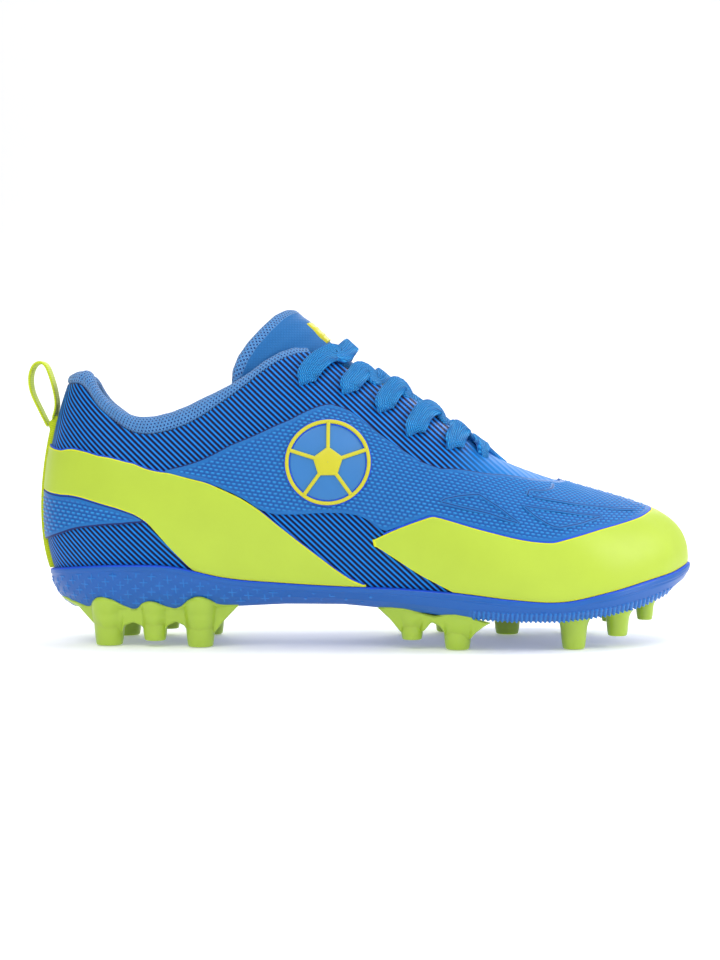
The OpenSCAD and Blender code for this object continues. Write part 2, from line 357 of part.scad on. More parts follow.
// ---- lace ---------------------------------------------------------------
UX=[.558,.608,.665,.728,.788];
UY=[0,.592,.645,.706,.766,.818];
SC=[.687,.537,.412,.293,.165,.053];
function sd(u,o) = o<0?u:2-u;
lace_u = 1.3;
function strand(k,o1) = let(o=-o1,e=EYE[k+1],f=EYE[k],us=e[0],vs=e[1],ue=f[0],ve=f[1],uy=UY[k+1],ux=UX[k],top=o1<0,
   tp=function(s,a,h) tongue(s,a,0)+tnorm(s,a)*h)
 [[P(sd(us,o),vs,-.5),M(sd(us,o),vs),lace_hole_w,lace_t],
  [P(sd(us,o),vs+.012,-3.0),unit(M(sd(us,o),vs)+N(sd(us,o),vs)),lace_hole_w,lace_u],
  [P(sd(mix(us,uy,.5),o),mix(vs,.985,.5),-3.2),N(sd(us,o),.9),4.2,lace_u],
  [P(sd(uy,o),.985,-2.95),N(sd(uy,o),.985),4.2,lace_u],
  [tp(SC[k]-.012,.34*o,1.7),tnorm(SC[k],.34*o),4.8,1.7],
  [tp(SC[k],0,top?4.3:2.0),tnorm(SC[k],0),6.2,lace_t],
  [tp(SC[k],.36*o1,top?4.8:4.6),tnorm(SC[k],.3*o1),lace_w,lace_t],
  [P(sd(ux,o1),1,1.2)+[0,-o1*.8,2.3],unit(N(sd(ux,o1),.97)*.5+tnorm(SC[k],.36*o1)),6.2,1.8],
  [P(sd(mix(ux,ue,.5),o1),mix(.985,ve,.42),2.0),N(sd(mix(ux,ue,.5),o1),.92),6.2,1.9],
  [P(sd(mix(ux,ue,.9),o1),ve+.024,1.25),unit(N(sd(ue,o1),ve)-M(sd(ue,o1),ve)*.8),5,lace_t],
  [P(sd(ue,o1),ve,-.6),-M(sd(ue,o1),ve),lace_hole_w,lace_t]];
function bar(o) = let(ue=EYE[5][0],ve=EYE[5][1])
 [[P(sd(ue,o),ve,-.6),-M(sd(ue,o),ve),lace_hole_w,lace_t],
  [P(sd(ue,o),ve+.03,1.2),unit(N(sd(ue,o),ve)-M(sd(ue,o),ve)*.8),5,lace_t],
  [P(sd(ue+.022,o),mix(ve,.985,.55),1.5),N(sd(ue,o),.92),6.2,lace_t],
  [P(sd(ue+.055,o),.985,2.7),N(sd(ue,o),.97),lace_w,lace_t]];
function barall() = let(a=bar(1),b=bar(-1)) [each a, [tongue(SC[5],0,0)+tnorm(SC[5],0)*5.8,tnorm(SC[5],0),lace_w,lace_t], for (i=[3:-1:0]) b[i]];
color_lace = [0.18,0.50,0.76];
// the lace is pressed in where it runs over the edge of the throat
module throat_edge(a,b) slab([for (u=ulines(a,b)) [for (v=[.82,1.004]) P(u,v,.05)]],[for (u=ulines(a,b)) [for (v=[.82,1.004]) P(u,v,-base_t-.05)]]);
module lace() color(color_lace) translate([-mid_x,-mid_y,0]) scale(shoe_scale) difference() {
  union() {
    for (k=[0:4],o=[-1,1]) ribbon(strand(k,o),lace_cuts);
    ribbon(barall(),lace_cuts);
  }
  difference() { throat_edge(.51,1.49); eyelets(-3,3); }
}
function tail(o) = [for (q=[[.496,.854,-1.5,3.4],[.500,.838,-3.1,4.2],[.517,.795,-4.6,5.4],[.553,.70,-5.0,lace_w],[.60,.625,-5.0,lace_w],
   [.66,.585,-5.0,lace_w],[.72,.57,-5.0,lace_w],[.775,.565,-5.1,5.6],[.80,.56,-5.2,3]])
   let(u=sd(q[0],o)) [P(u,q[1],q[2]),q[2]>-1?-M(u,q[1]):N(u,q[1]),q[3],q[3]<4?2:lace_t]];
function aglet(o) = [for (q=[[.802,.56,-5.2],[.835,.555,-5.4],[.87,.55,-5.6]]) let(u=sd(q[0],o)) [P(u,q[1],q[2]),N(u,q[1]),2.9,2.5]];
module lace_tail_lateral() color(color_lace) translate([-mid_x,-mid_y,0]) scale(shoe_scale) ribbon(tail(-1),2);
module lace_tail_medial() color(color_lace) translate([-mid_x,-mid_y,0]) scale(shoe_scale) ribbon(tail(1),2);
module aglet_lateral() color([0.75,0.80,0.85]) translate([-mid_x,-mid_y,0]) scale(shoe_scale) ribbon(aglet(-1),2);
module aglet_medial() color([0.75,0.80,0.85]) translate([-mid_x,-mid_y,0]) scale(shoe_scale) ribbon(aglet(1),2);

// ---- heel loop ----------------------------------------------------------
LP=[[1.9,77.0],[-.9,82.6],[-3.8,89],[-4.5,94.2],[-3.3,98.3],[-1,99.8],[1.2,98.6],[2.9,94.6],[4.3,89.4],[4.9,84.5],[3.9,79.8]];
module pull_loop() color(color_lime) translate([-mid_x,-mid_y,0]) scale(shoe_scale)
  ribbon([for (i=[0:len(LP)-1]) let(a=LP[max(0,i-1)],b=LP[min(len(LP)-1,i+1)],d=unit(b-a)) [[LP[i][0],0,LP[i][1]],[-d[1],0,d[0]],10,1.1]],2);

outsole_plate();
heel_studs();
studs_rear_lateral();
studs_rear_medial();
stud_ball_medial();
stud_front_lateral();
stud_front_medial();
stud_tip_lateral();
stud_tip_medial();
stud_toe();
heel_wedge();
insole_board();
upper_base();
heel_counter();
toe_puff();
vamp_lining();
collar_lining();
collar_foam();
eyestay_backing_lateral();
eyestay_backing_medial();
wing_overlay();
toe_overlay();
texture_overlay();
heel_texture();
heel_strip();
badge_lateral();
badge_medial();
lace();
lace_tail_lateral();
lace_tail_medial();
aglet_lateral();
aglet_medial();
tongue_skin();
tongue_foam();
tongue_lining();
tongue_mark();
pull_loop();
sockliner_foam();
sockliner_cover();
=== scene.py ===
import bpy, math, json
import numpy as np
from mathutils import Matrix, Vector

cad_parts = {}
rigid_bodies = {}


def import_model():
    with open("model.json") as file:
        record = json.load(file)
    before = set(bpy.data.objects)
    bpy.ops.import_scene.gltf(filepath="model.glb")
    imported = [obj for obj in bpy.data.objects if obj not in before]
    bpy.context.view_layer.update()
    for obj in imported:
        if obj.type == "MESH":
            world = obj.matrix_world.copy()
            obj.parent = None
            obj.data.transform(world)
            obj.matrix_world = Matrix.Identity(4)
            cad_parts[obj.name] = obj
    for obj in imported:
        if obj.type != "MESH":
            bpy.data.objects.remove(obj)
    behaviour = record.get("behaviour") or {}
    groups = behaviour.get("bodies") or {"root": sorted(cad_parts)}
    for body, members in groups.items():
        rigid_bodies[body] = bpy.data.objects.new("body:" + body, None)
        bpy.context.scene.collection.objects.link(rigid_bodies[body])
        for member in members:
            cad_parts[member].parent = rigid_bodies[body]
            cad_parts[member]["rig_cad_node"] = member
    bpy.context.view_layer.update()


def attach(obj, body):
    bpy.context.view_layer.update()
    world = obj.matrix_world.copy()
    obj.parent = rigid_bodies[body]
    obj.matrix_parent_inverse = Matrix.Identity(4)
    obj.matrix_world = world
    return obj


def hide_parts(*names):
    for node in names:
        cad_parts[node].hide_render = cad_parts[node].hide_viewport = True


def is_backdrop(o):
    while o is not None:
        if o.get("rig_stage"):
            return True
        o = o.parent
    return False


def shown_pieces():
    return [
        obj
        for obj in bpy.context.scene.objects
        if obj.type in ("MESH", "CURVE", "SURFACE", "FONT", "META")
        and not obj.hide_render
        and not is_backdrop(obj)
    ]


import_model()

MX, MY, MZ = 113.92, -0.03, 0.0
scene = bpy.context.scene
col = scene.collection

# ------------------------------------------------------------------ camera, light, floor
cam_d = bpy.data.cameras.new("camera")
cam_d.sensor_width = 36.0
cam_d.lens = 76.05
cam_d.clip_start = 0.01
cam_d.clip_end = 20
cam = bpy.data.objects.new("camera", cam_d)
col.objects.link(cam)
cam.location = ((113.76 - MX) / 1000, -0.730, 0.080)
cam.rotation_euler = (math.radians(90 - 1.762), 0, 0)
scene.camera = cam


def area(name, loc, target, size, power, color=(1, 1, 1)):
    d = bpy.data.lights.new(name, "AREA")
    d.shape = "RECTANGLE"
    d.size, d.size_y = size
    d.energy = power
    d.color = color
    o = bpy.data.objects.new(name, d)
    col.objects.link(o)
    o.location = loc
    o.rotation_euler = (Vector(target) - Vector(loc)).to_track_quat("-Z", "Y").to_euler()
    return o


area("key", (-0.35, -0.95, 1.10), (0, 0, 0.04), (0.9, 0.7), 7.6, (1.0, 0.99, 0.97))
area("front_fill", (0.75, -1.30, 0.35), (0.02, 0, 0.04), (0.9, 0.9), 2.5, (0.96, 0.98, 1.0))
area("top", (0.25, 0.15, 1.25), (0.03, 0, 0.05), (0.8, 0.6), 5.4)
area("rim", (0.2, 1.2, 0.75), (0, 0, 0.06), (0.9, 0.6), 5.0)
area("toe_side", (1.0, -0.15, 0.55), (0.08, 0, 0.04), (0.5, 0.5), 4.2)
w = bpy.data.worlds.new("studio")
scene.world = w
w.use_nodes = True
w.node_tree.nodes["Background"].inputs[0].default_value = (0.96, 0.97, 1.0, 1)
w.node_tree.nodes["Background"].inputs[1].default_value = 0.52


# ------------------------------------------------------------------ node helpers
class NT:
    def __init__(self, name):
        self.m = bpy.data.materials.new(name)
        self.m.use_nodes = True
        self.t = self.m.node_tree
        self.t.nodes.clear()
        self.out = self.t.nodes.new("ShaderNodeOutputMaterial")
        self.b = self.t.nodes.new("ShaderNodeBsdfPrincipled")
        self.t.links.new(self.b.outputs[0], self.out.inputs[0])

    def n(self, kind, **kw):
        x = self.t.nodes.new(kind)
        for k, v in kw.items():
            setattr(x, k, v)
        return x

    def link(self, a, b):
        self.t.links.new(a, b)

    def put(self, sock, v):
        if hasattr(v, "is_output"):
            self.link(v, sock)
        else:
            sock.default_value = v

    def math(self, op, a, b=None, c=None):
        x = self.n("ShaderNodeMath", operation=op)
        self.put(x.inputs[0], a)
        if b is not None:
            self.put(x.inputs[1], b)
        if c is not None:
            self.put(x.inputs[2], c)
        return x.outputs[0]

    def ramp(self, fac, stops, interp="LINEAR"):
        x = self.n("ShaderNodeValToRGB")
        x.color_ramp.interpolation = interp
        e = x.color_ramp.elements
        while len(e) > 1:
            e.remove(e[-1])
        e[0].position = stops[0][0]
        e[0].color = (*stops[0][1], 1)
        for p, c in stops[1:]:
            q = e.new(p)
            q.color = (*c, 1)
        self.link(fac, x.inputs[0])
        return x.outputs[0]

    def mix(self, fac, a, b, blend="MIX"):
        x = self.n("ShaderNodeMix", data_type="RGBA", blend_type=blend)
        self.put(x.inputs[0], fac)
        self.put(x.inputs[6], a if hasattr(a, "is_output") else (*a, 1))
        self.put(x.inputs[7], b if hasattr(b, "is_output") else (*b, 1))
        return x.outputs[2]

    def noise(self, scale, detail=2.0, rough=0.5, vec=None):
        x = self.n("ShaderNodeTexNoise")
        x.inputs["Scale"].default_value = scale
        x.inputs["Detail"].default_value = detail
        x.inputs["Roughness"].default_value = rough
        if vec is not None:
            self.link(vec, x.inputs["Vector"])
        return x.outputs[0]

    def obj(self):
        return self.n("ShaderNodeTexCoord").outputs["Object"]

    def uvxy(self, name="UVMap"):
        u = self.n("ShaderNodeUVMap", uv_map=name)
        s = self.n("ShaderNodeSeparateXYZ")
        self.link(u.outputs[0], s.inputs[0])
        return s.outputs[0], s.outputs[1]

    def bump(self, h, strength, dist, normal=None):
        x = self.n("ShaderNodeBump")
        x.inputs["Strength"].default_value = strength
        x.inputs["Distance"].default_value = dist
        self.link(h, x.inputs["Height"])
        if normal is not None:
            self.link(normal, x.inputs["Normal"])
        return x.outputs[0]

    def done(self, color=None, rough=0.5, normal=None, sheen=0.0, coat=0.0, sub=0.0, spec=0.5, coat_r=0.2):
        i = self.b.inputs
        if color is not None:
            self.put(i["Base Color"], color if hasattr(color, "is_output") else (*color, 1))
        self.put(i["Roughness"], rough)
        if normal is not None:
            self.link(normal, i["Normal"])
        i["Specular IOR Level"].default_value = spec
        if sheen:
            i["Sheen Weight"].default_value = sheen
            i["Sheen Roughness"].default_value = 0.4
        if coat:
            i["Coat Weight"].default_value = coat
            i["Coat Roughness"].default_value = coat_r
        if sub:
            i["Subsurface Weight"].default_value = sub
            i["Subsurface Radius"].default_value = (0.004, 0.005, 0.001)
            i["Subsurface Scale"].default_value = 0.3
        return self.m


def lin(r, g, b):
    f = lambda c: (c / 255 / 12.92) if c / 255 <= 0.04045 else ((c / 255 + 0.055) / 1.055) ** 2.4
    return (f(r) * .88, f(g) * .88, f(b) * .88)


def value_noise_color(t, base, amount=0.06, scale=60.0):
    """Colour with a soft cloudy variation and a finer one on top."""
    a = t.noise(scale, 3.0, 0.55, t.obj())
    b = t.noise(scale * 14, 2.0, 0.5, t.obj())
    dark = tuple(c * (1 - amount) for c in base)
    light = tuple(min(1, c * (1 + amount)) for c in base)
    c = t.mix(t.math("MULTIPLY_ADD", t.math("SUBTRACT", a, 0.5), 1.8, 0.5), dark, light)
    return t.mix(t.math("MULTIPLY", b, 0.25), c, tuple(c0 * 0.93 for c0 in base))


# stripes: ridged base fabric, dark cord lines between the ridges; the blue of each ridge is painted lighter at its
# crest and darker towards the cords, a painted highlight and painted shade
def mat_stripe():
    t = NT("striped_base")
    x, y = t.uvxy()
    a = math.radians(43)
    pitch = 1.47
    p = t.math("ADD", t.math("MULTIPLY", x, 100 * math.sin(a) / pitch), t.math("MULTIPLY", y, 100 * math.cos(a) / pitch))
    wob = t.noise(45.0, 1.0, 0.5, t.obj())
    p = t.math("ADD", p, t.math("MULTIPLY", t.math("SUBTRACT", wob, 0.5), 0.25))
    f = t.math("FRACT", p)
    # ramp follows the ridge profile: the dark cord is the fabric's own line, the lighter crest is a painted highlight
    # and the darker flanks painted shade
    c = t.ramp(f, [(0.0, lin(16, 6, 12)), (0.27, lin(22, 8, 14)), (0.34, lin(6, 44, 120)), (0.46, lin(4, 108, 214)),
                   (0.64, lin(8, 162, 255)), (0.82, lin(4, 112, 220)), (0.94, lin(6, 36, 104)), (1.0, lin(16, 6, 12))])
    px_ = t.n("ShaderNodeSeparateXYZ")
    t.link(t.obj(), px_.inputs[0])
    fade = t.n("ShaderNodeMapRange", interpolation_type="SMOOTHSTEP")
    t.link(px_.outputs[0], fade.inputs["Value"])
    fade.inputs["From Min"].default_value = 0.028
    fade.inputs["From Max"].default_value = 0.052
    c = t.mix(fade.outputs[0], c, lin(10, 134, 222))
    fine = t.noise(2600, 2.0, 0.6, t.obj())
    c = t.mix(t.math("MULTIPLY", fine, 0.22), c, lin(10, 60, 140))
    h = t.ramp(f, [(0.0, (0, 0, 0)), (0.26, (0.05, 0.05, 0.05)), (0.42, (0.8, 0.8, 0.8)), (0.62, (1, 1, 1)), (0.84, (0.75, 0.75, 0.75)), (1.0, (0, 0, 0))])
    n1 = t.bump(h, 0.9, 0.00035)
    n2 = t.bump(fine, 0.25, 0.00008, n1)
    r = t.math("MULTIPLY_ADD", h, -0.12, 0.58)
    return t.done(c, r, n2, spec=0.18)


def mat_film(name, base, rough=0.42, coat=0.12, grain=0.35, amount=0.05):
    t = NT(name)
    c = value_noise_color(t, base, amount)
    g = t.noise(2200, 3.0, 0.6, t.obj())
    g2 = t.noise(420, 2.0, 0.5, t.obj())
    n = t.bump(g, grain, 0.00006)
    n = t.bump(g2, grain * 0.5, 0.00012, n)
    r = t.math("MULTIPLY_ADD", g2, 0.14, rough - 0.07)
    return t.done(c, r, n, coat=coat, coat_r=0.35, spec=0.4)


def mat_blue_texture(name, c_low, c_high):
    """Embossed film: the facets are geometry, and their height also sets the colour: lighter on raised facets as a
    painted highlight, darker in the hollows as painted shade.
    """
    t = NT(name)
    at = t.n("ShaderNodeAttribute", attribute_name="relief")
    # relief tint: painted highlight on raised facets, painted shade in the hollows between them
    c = t.ramp(at.outputs["Fac"], [(0.0, c_low), (0.55, tuple((a + b) / 2 for a, b in zip(c_low, c_high))), (1.0, c_high)])
    cl = t.noise(40, 2.0, 0.5, t.obj())
    c = t.mix(t.math("MULTIPLY", cl, 0.25), c, c_low)
    g = t.noise(2600, 3.0, 0.6, t.obj())
    n = t.bump(g, 0.3, 0.00006)
    return t.done(c, t.math("MULTIPLY_ADD", g, 0.12, 0.40), n, coat=0.04, coat_r=0.3, spec=0.3)


def mat_mesh(name, c_dark, c_mid, c_light, sx=1.0, sy=1.0, depth=0.0004):
    """Sandwich mesh: rows of small holes between looped yarns, along UV in centimetre-tenths; the colour follows the
    bump height, holes painted dark as painted shade and loop tops painted light as a painted highlight.
    """
    t = NT(name)
    x, y = t.uvxy()
    X = t.math("MULTIPLY", x, 100 * sx)
    Y = t.math("MULTIPLY", y, 100 * sy)
    row = t.math("FLOOR", Y)
    sh = t.math("MULTIPLY", t.math("FRACT", t.math("MULTIPLY", row, 0.5)), 1.0)
    fx = t.math("SUBTRACT", t.math("FRACT", t.math("ADD", X, sh)), 0.5)
    fy = t.math("SUBTRACT", t.math("FRACT", Y), 0.5)
    d = t.math("SQRT", t.math("ADD", t.math("POWER", t.math("MULTIPLY", fx, 1.25), 2.0), t.math("POWER", t.math("MULTIPLY", fy, 1.0), 2.0)))
    h = t.ramp(d, [(0.0, (0, 0, 0)), (0.17, (0.03, 0.03, 0.03)), (0.33, (0.8, 0.8, 0.8)), (0.5, (1, 1, 1)), (0.72, (0.7, 0.7, 0.7))])
    yarn = t.noise(3200, 2.0, 0.6, t.obj())
    # painted shade in the holes, painted highlight on the loop tops
    c = t.ramp(d, [(0.0, c_dark), (0.17, c_dark), (0.30, c_mid), (0.46, c_light), (0.7, c_mid)])
    c = t.mix(t.math("MULTIPLY", yarn, 0.3), c, c_dark)
    n = t.bump(h, 1.0, depth)
    n = t.bump(yarn, 0.35, 0.0001, n)
    return t.done(c, 0.8, n, sheen=0.35, spec=0.2)


def mat_lace():
    """Flat braid: herringbone of small yarn loops, UV x along the lace and y across, in mm; colour follows the loop
    height, darker between loops as painted shade and near white on the loop tops as a painted highlight.
    """
    t = NT("lace_braid")
    x, y = t.uvxy()
    X = t.math("MULTIPLY", x, 1.0)
    yy = t.math("ABSOLUTE", y)
    p1 = t.math("FRACT", t.math("ADD", t.math("MULTIPLY", X, 1.25), t.math("MULTIPLY", yy, 1.1)))
    p2 = t.math("FRACT", t.math("MULTIPLY", y, 1.55))
    a = t.math("PINGPONG", t.math("MULTIPLY", p1, 2.0), 1.0)
    b = t.math("PINGPONG", t.math("MULTIPLY", p2, 2.0), 1.0)
    h = t.math("MULTIPLY", t.math("POWER", a, 0.5), t.math("POWER", b, 0.5))
    yarn = t.noise(3800, 2.0, 0.6, t.obj())
    # painted shade between the loops, painted highlight on their tops
    c = t.ramp(h, [(0.0, lin(8, 70, 150)), (0.35, lin(20, 134, 220)), (0.8, lin(48, 178, 255)), (1.0, lin(110, 214, 255))])
    c = t.mix(t.math("MULTIPLY", yarn, 0.22), c, lin(14, 96, 180))
    n = t.bump(h, 1.0, 0.00045)
    n = t.bump(yarn, 0.4, 0.0001, n)
    return t.done(c, 0.78, n, sheen=0.12, spec=0.2)


def mat_cloth(name, base, rough=0.85, scale=1700.0):
    """Plain fine weave from two crossed waves in object space; the crossings are painted lighter and the gaps darker, a
    painted highlight and painted shade.
    """
    t = NT(name)
    o = t.obj()
    w1 = t.n("ShaderNodeTexWave", wave_type="BANDS", bands_direction="X")
    w1.inputs["Scale"].default_value = scale / 6.283
    w1.inputs["Distortion"].default_value = 0.6
    w2 = t.n("ShaderNodeTexWave", wave_type="BANDS", bands_direction="Z")
    w2.inputs["Scale"].default_value = scale / 6.283
    w2.inputs["Distortion"].default_value = 0.6
    t.link(o, w1.inputs[0])
    t.link(o, w2.inputs[0])
    h = t.math("MULTIPLY", w1.outputs["Fac"], w2.outputs["Fac"])
    nz = t.noise(900, 3.0, 0.6, o)
    # weave height as colour: painted highlight on the crossings, painted shade between them
    c = t.mix(t.math("MULTIPLY_ADD", h, 0.5, 0.1), tuple(v * 0.78 for v in base), tuple(min(1, v * 1.12) for v in base))
    c = t.mix(t.math("MULTIPLY", nz, 0.25), c, tuple(v * 0.8 for v in base))
    n = t.bump(h, 0.5, 0.0001)
    return t.done(c, rough, n, sheen=0.3, spec=0.2)


def mat_web(name, base, dark):
    """Woven tape: ribs along its length from UV y, yarn crossings from UV x (mm); the colour goes to the darker tone in
    the low parts as painted shade.
    """
    t = NT(name)
    x, y = t.uvxy()
    a = t.math("PINGPONG", t.math("MULTIPLY", x, 2.6), 1.0)
    b = t.math("PINGPONG", t.math("MULTIPLY", y, 2.2), 1.0)
    h = t.math("MULTIPLY_ADD", a, 0.5, t.math("MULTIPLY", b, 0.5))
    yarn = t.noise(3000, 2.0, 0.6, t.obj())
    # darker tone in the grooves between ribs: painted shade
    c = t.mix(h, dark, base)
    c = t.mix(t.math("MULTIPLY", yarn, 0.2), c, dark)
    n = t.bump(h, 0.7, 0.00018)
    n = t.bump(yarn, 0.3, 0.00008, n)
    return t.done(c, 0.7, n, sheen=0.2, spec=0.25)


def mat_moulded(name, base, rough=0.34, coat=0.25, sub=0.0, amount=0.05):
    t = NT(name)
    c = value_noise_color(t, base, amount, 45)
    g = t.noise(1500, 3.0, 0.6, t.obj())
    scuff = t.noise(130, 4.0, 0.7, t.obj())
    n = t.bump(g, 0.22, 0.00006)
    n = t.bump(scuff, 0.10, 0.0002, n)
    r = t.math("MULTIPLY_ADD", scuff, 0.16, rough - 0.08)
    return t.done(c, r, n, coat=coat, coat_r=0.25, sub=sub, spec=0.5)


def mat_foam(name, base):
    t = NT(name)
    v = t.n("ShaderNodeTexVoronoi")
    v.inputs["Scale"].default_value = 1400
    t.link(t.obj(), v.inputs["Vector"])
    # pores darker than the cell walls: painted shade in the pores
    c = t.mix(t.math("MULTIPLY", v.outputs["Distance"], 0.8), tuple(x * 0.72 for x in base), base)
    return t.done(c, 0.9, t.bump(v.outputs["Distance"], 0.5, 0.00015), spec=0.15)


def mat_plain(name, base, rough=0.6, bump=0.2):
    t = NT(name)
    c = value_noise_color(t, base, 0.08, 90)
    g = t.noise(1300, 3.0, 0.6, t.obj())
    return t.done(c, rough, t.bump(g, bump, 0.0001), spec=0.35)


LIME = lin(196, 219, 72)
M_STRIPE = mat_stripe()
M_LIME = mat_film("lime_film", lin(190, 216, 62), 0.46, 0.10, 0.3, 0.04)
# bright yellow for the rim rows of the lime films: a painted highlight along their bevelled edge
M_EDGE = mat_plain("lime_edge_highlight", lin(232, 238, 30), 0.5, 0.1)
# navy for the topline rim, the rim of the heel embossed film, the lines along the embossed films and the floor of the
# embossed grooves, where it is painted shade
M_NAVY = mat_plain("navy_edge_and_groove_shade", lin(14, 44, 116), 0.5, 0.1)
M_BRIGHT = mat_plain("bright_blue_edge", lin(20, 84, 226), 0.5, 0.1)
M_TEX = mat_blue_texture("embossed_blue_film", lin(4, 86, 168), lin(44, 164, 240))
M_MESH = mat_mesh("collar_mesh", lin(10, 40, 112), lin(48, 122, 206), lin(120, 186, 244), 0.78, 0.86)
M_LACE = mat_lace()
M_TONGUE = mat_cloth("tongue_textile", lin(40, 118, 190), 0.7, 2100)
M_WEB = mat_web("lime_tape", lin(232, 246, 50), lin(186, 208, 24))
def mat_plate():
    t = NT("blue_plate")
    at = t.n("ShaderNodeAttribute", attribute_name="relief")
    c = value_noise_color(t, lin(12, 96, 184), .05, 45)
    # raised marks and tread lightened by their height: a painted highlight
    c = t.mix(t.math("MULTIPLY", at.outputs["Fac"], .42), c, lin(40, 156, 250))
    g = t.noise(1500, 3.0, 0.6, t.obj())
    sc = t.noise(130, 4.0, 0.7, t.obj())
    n = t.bump(g, 0.22, 0.00006)
    n = t.bump(sc, 0.10, 0.0002, n)
    return t.done(c, t.math("MULTIPLY_ADD", sc, .16, .30), n, coat=.08, coat_r=.25, spec=.4)


M_SOLE = mat_plate()
M_SOLE2 = mat_moulded("blue_plate_marks", lin(40, 128, 220), 0.35, 0.2)
M_STUD = mat_moulded("lime_studs", lin(176, 208, 58), 0.36, 0.2, 0.12)
M_YEL = mat_film("yellow_print", lin(214, 208, 40), 0.45, 0.15, 0.25, 0.05)
M_LIN = mat_cloth("lining_textile", lin(56, 116, 190), 0.85, 1500)
M_GREY = mat_cloth("vamp_lining_textile", lin(196, 204, 212), 0.9, 1500)
M_FOAMC = mat_foam("cream_foam", lin(236, 228, 204))
M_FOAMD = mat_foam("dark_foam", lin(52, 56, 66))
M_BOARD = mat_cloth("strobel_board", lin(214, 202, 172), 0.9, 900)
M_COUNTER = mat_plain("counter_board", lin(224, 222, 212), 0.7, 0.4)
M_BACK = mat_cloth("eyestay_backing", lin(40, 52, 78), 0.85, 1300)
M_EVA = mat_foam("eva_wedge", lin(210, 212, 204))
M_COVER = mat_cloth("sockliner_textile", lin(38, 96, 170), 0.85, 1200)
M_AGLET = mat_moulded("aglet_plastic", lin(176, 196, 214), 0.15, 0.6)

# ------------------------------------------------------------------ the surface of the upper (same numbers as the CAD source)
LAT = np.array([
 [(6.5,0,21),(-3,0,38),(1,0,70),(8.8,0,91.7)],[(9.5,-13.5,21.5),(1,-17.5,39),(4.5,-13,71),(11,-8.5,92)],
 [(19,-22.5,22.5),(13.5,-27.5,41),(12.5,-21,71),(16,-15,91)],[(33,-27,23.5),(29,-33,40),(25,-28.5,66),(24,-21,82)],
 [(50,-29,23),(48,-35,38),(40,-32,60),(37,-26.5,74.4)],[(68,-29,20.5),(66.5,-36,38),(57,-34,63),(53,-28,77.3)],
 [(88,-30,19.5),(86,-38,40),(74.5,-35,72),(69,-26.5,87.4)],[(108,-32.5,18.8),(105,-41,42),(92,-33,83),(86,-22,100)],
 [(128,-36.5,17.8),(124,-44,43),(107,-31,87),(99,-15,102.8)],[(148,-40.5,16),(143,-47,42),(123,-31,82),(113,-13,95.5)],
 [(166,-41.5,14),(161,-48,38),(138,-31,76),(128,-12.5,89.3)],[(183,-39,13.5),(179,-46,37),(152,-30,67),(141,-11.5,80.3)],
 [(200,-33,15.5),(198,-40,40),(165,-25,61),(151.5,-9.5,73)],[(214,-22.5,18.5),(215,-28,45),(180,-18,54),(158,-6,68.6)],
 [(224.5,-10.5,21.5),(229,-13,50),(194,-9,49),(160.8,-3,66.8)],[(231,4,24),(236.5,4,53),(202,2.5,47.5),(161.5,0.5,66.2)]], float)
MED = np.array([(0,0,0,0),(13.5,17.5,13,8.5),(22,27,21,15),(26,32,28,21),(27,33,31,26.5),(26,33,33,28),(25.5,34,34,26.5),(27,36,32,22),
 (31,39,30.5,15),(36,43,31,13),(40,47,31,12.5),(41.5,48,31,11.5),(38,44.5,27.5,10),(30,35,21,6.8),(18.5,20.5,13,4),(4,4,2.5,0.5)], float)
ROWS = np.zeros((30, 4, 3))
for k in range(30):
    if k <= 15:
        ROWS[k] = LAT[k]
    else:
        ROWS[k] = LAT[30 - k]
        ROWS[k][:, 1] = MED[30 - k]
LIP = np.array([26.2,27,28.2,29,28.6,24.7,23,22,21.6,20.2,18,16.9,19.8,23,25.4,27.9])
GLX = np.array([(10,0),(13,-11),(21,-18.5),(34,-23),(50,-24.5),(68,-24.5),(88,-25),(108,-27.5),(128,-32.5),(148,-37.5),(166,-39),(183,-37),(199,-31.5),(212,-22),(221.5,-10.5),(227,4)], float)
GMY = np.array([0,11,18.5,22.5,23,20.5,19.5,22,28,33.5,37.5,39,36,28.5,18,4], float)
PZX = np.array([(0,0),(50,.2),(68,1.2),(88,2.2),(108,2.3),(128,.8),(148,-1.5),(166,-2.6),(183,-2.8),(199,-1.2),(212,1.2),(221.5,4.2),(228,7.4),(240,10)], float)
GR = np.array([GLX[k] if k <= 15 else (GLX[30 - k][0], GMY[30 - k]) for k in range(30)])
LR = np.array([LIP[k] if k <= 15 else LIP[30 - k] for k in range(30)])[:, None]


def unit(a):
    return a / np.maximum(np.linalg.norm(a, axis=-1, keepdims=True), 1e-12)


def per(tab, u):
    t = (np.asarray(u, float) % 2) * 15
    i = np.floor(t).astype(int)
    f = (t - i).reshape(t.shape + (1,) * (tab.ndim - 1))
    a, b, c, d = tab[(i - 1) % 30], tab[i % 30], tab[(i + 1) % 30], tab[(i + 2) % 30]
    return 0.5 * (2 * b + (c - a) * f + (2 * a - 5 * b + 4 * c - d) * f**2 + (3 * b - a - 3 * c + d) * f**3)


def bez(c, v):
    v = np.asarray(v, float)[..., None]
    w_ = 1 - v
    return c[..., 0, :] * w_**3 + c[..., 1, :] * 3 * w_**2 * v + c[..., 2, :] * 3 * w_ * v**2 + c[..., 3, :] * v**3


def dbez(c, v):
    v = np.asarray(v, float)[..., None]
    w_ = 1 - v
    return 3 * ((c[..., 1, :] - c[..., 0, :]) * w_**2 + (c[..., 2, :] - c[..., 1, :]) * 2 * w_ * v + (c[..., 3, :] - c[..., 2, :]) * v**2)


def S(u, v):
    u, v = np.broadcast_arrays(np.asarray(u, float), np.asarray(v, float))
    return bez(per(ROWS, u), v)


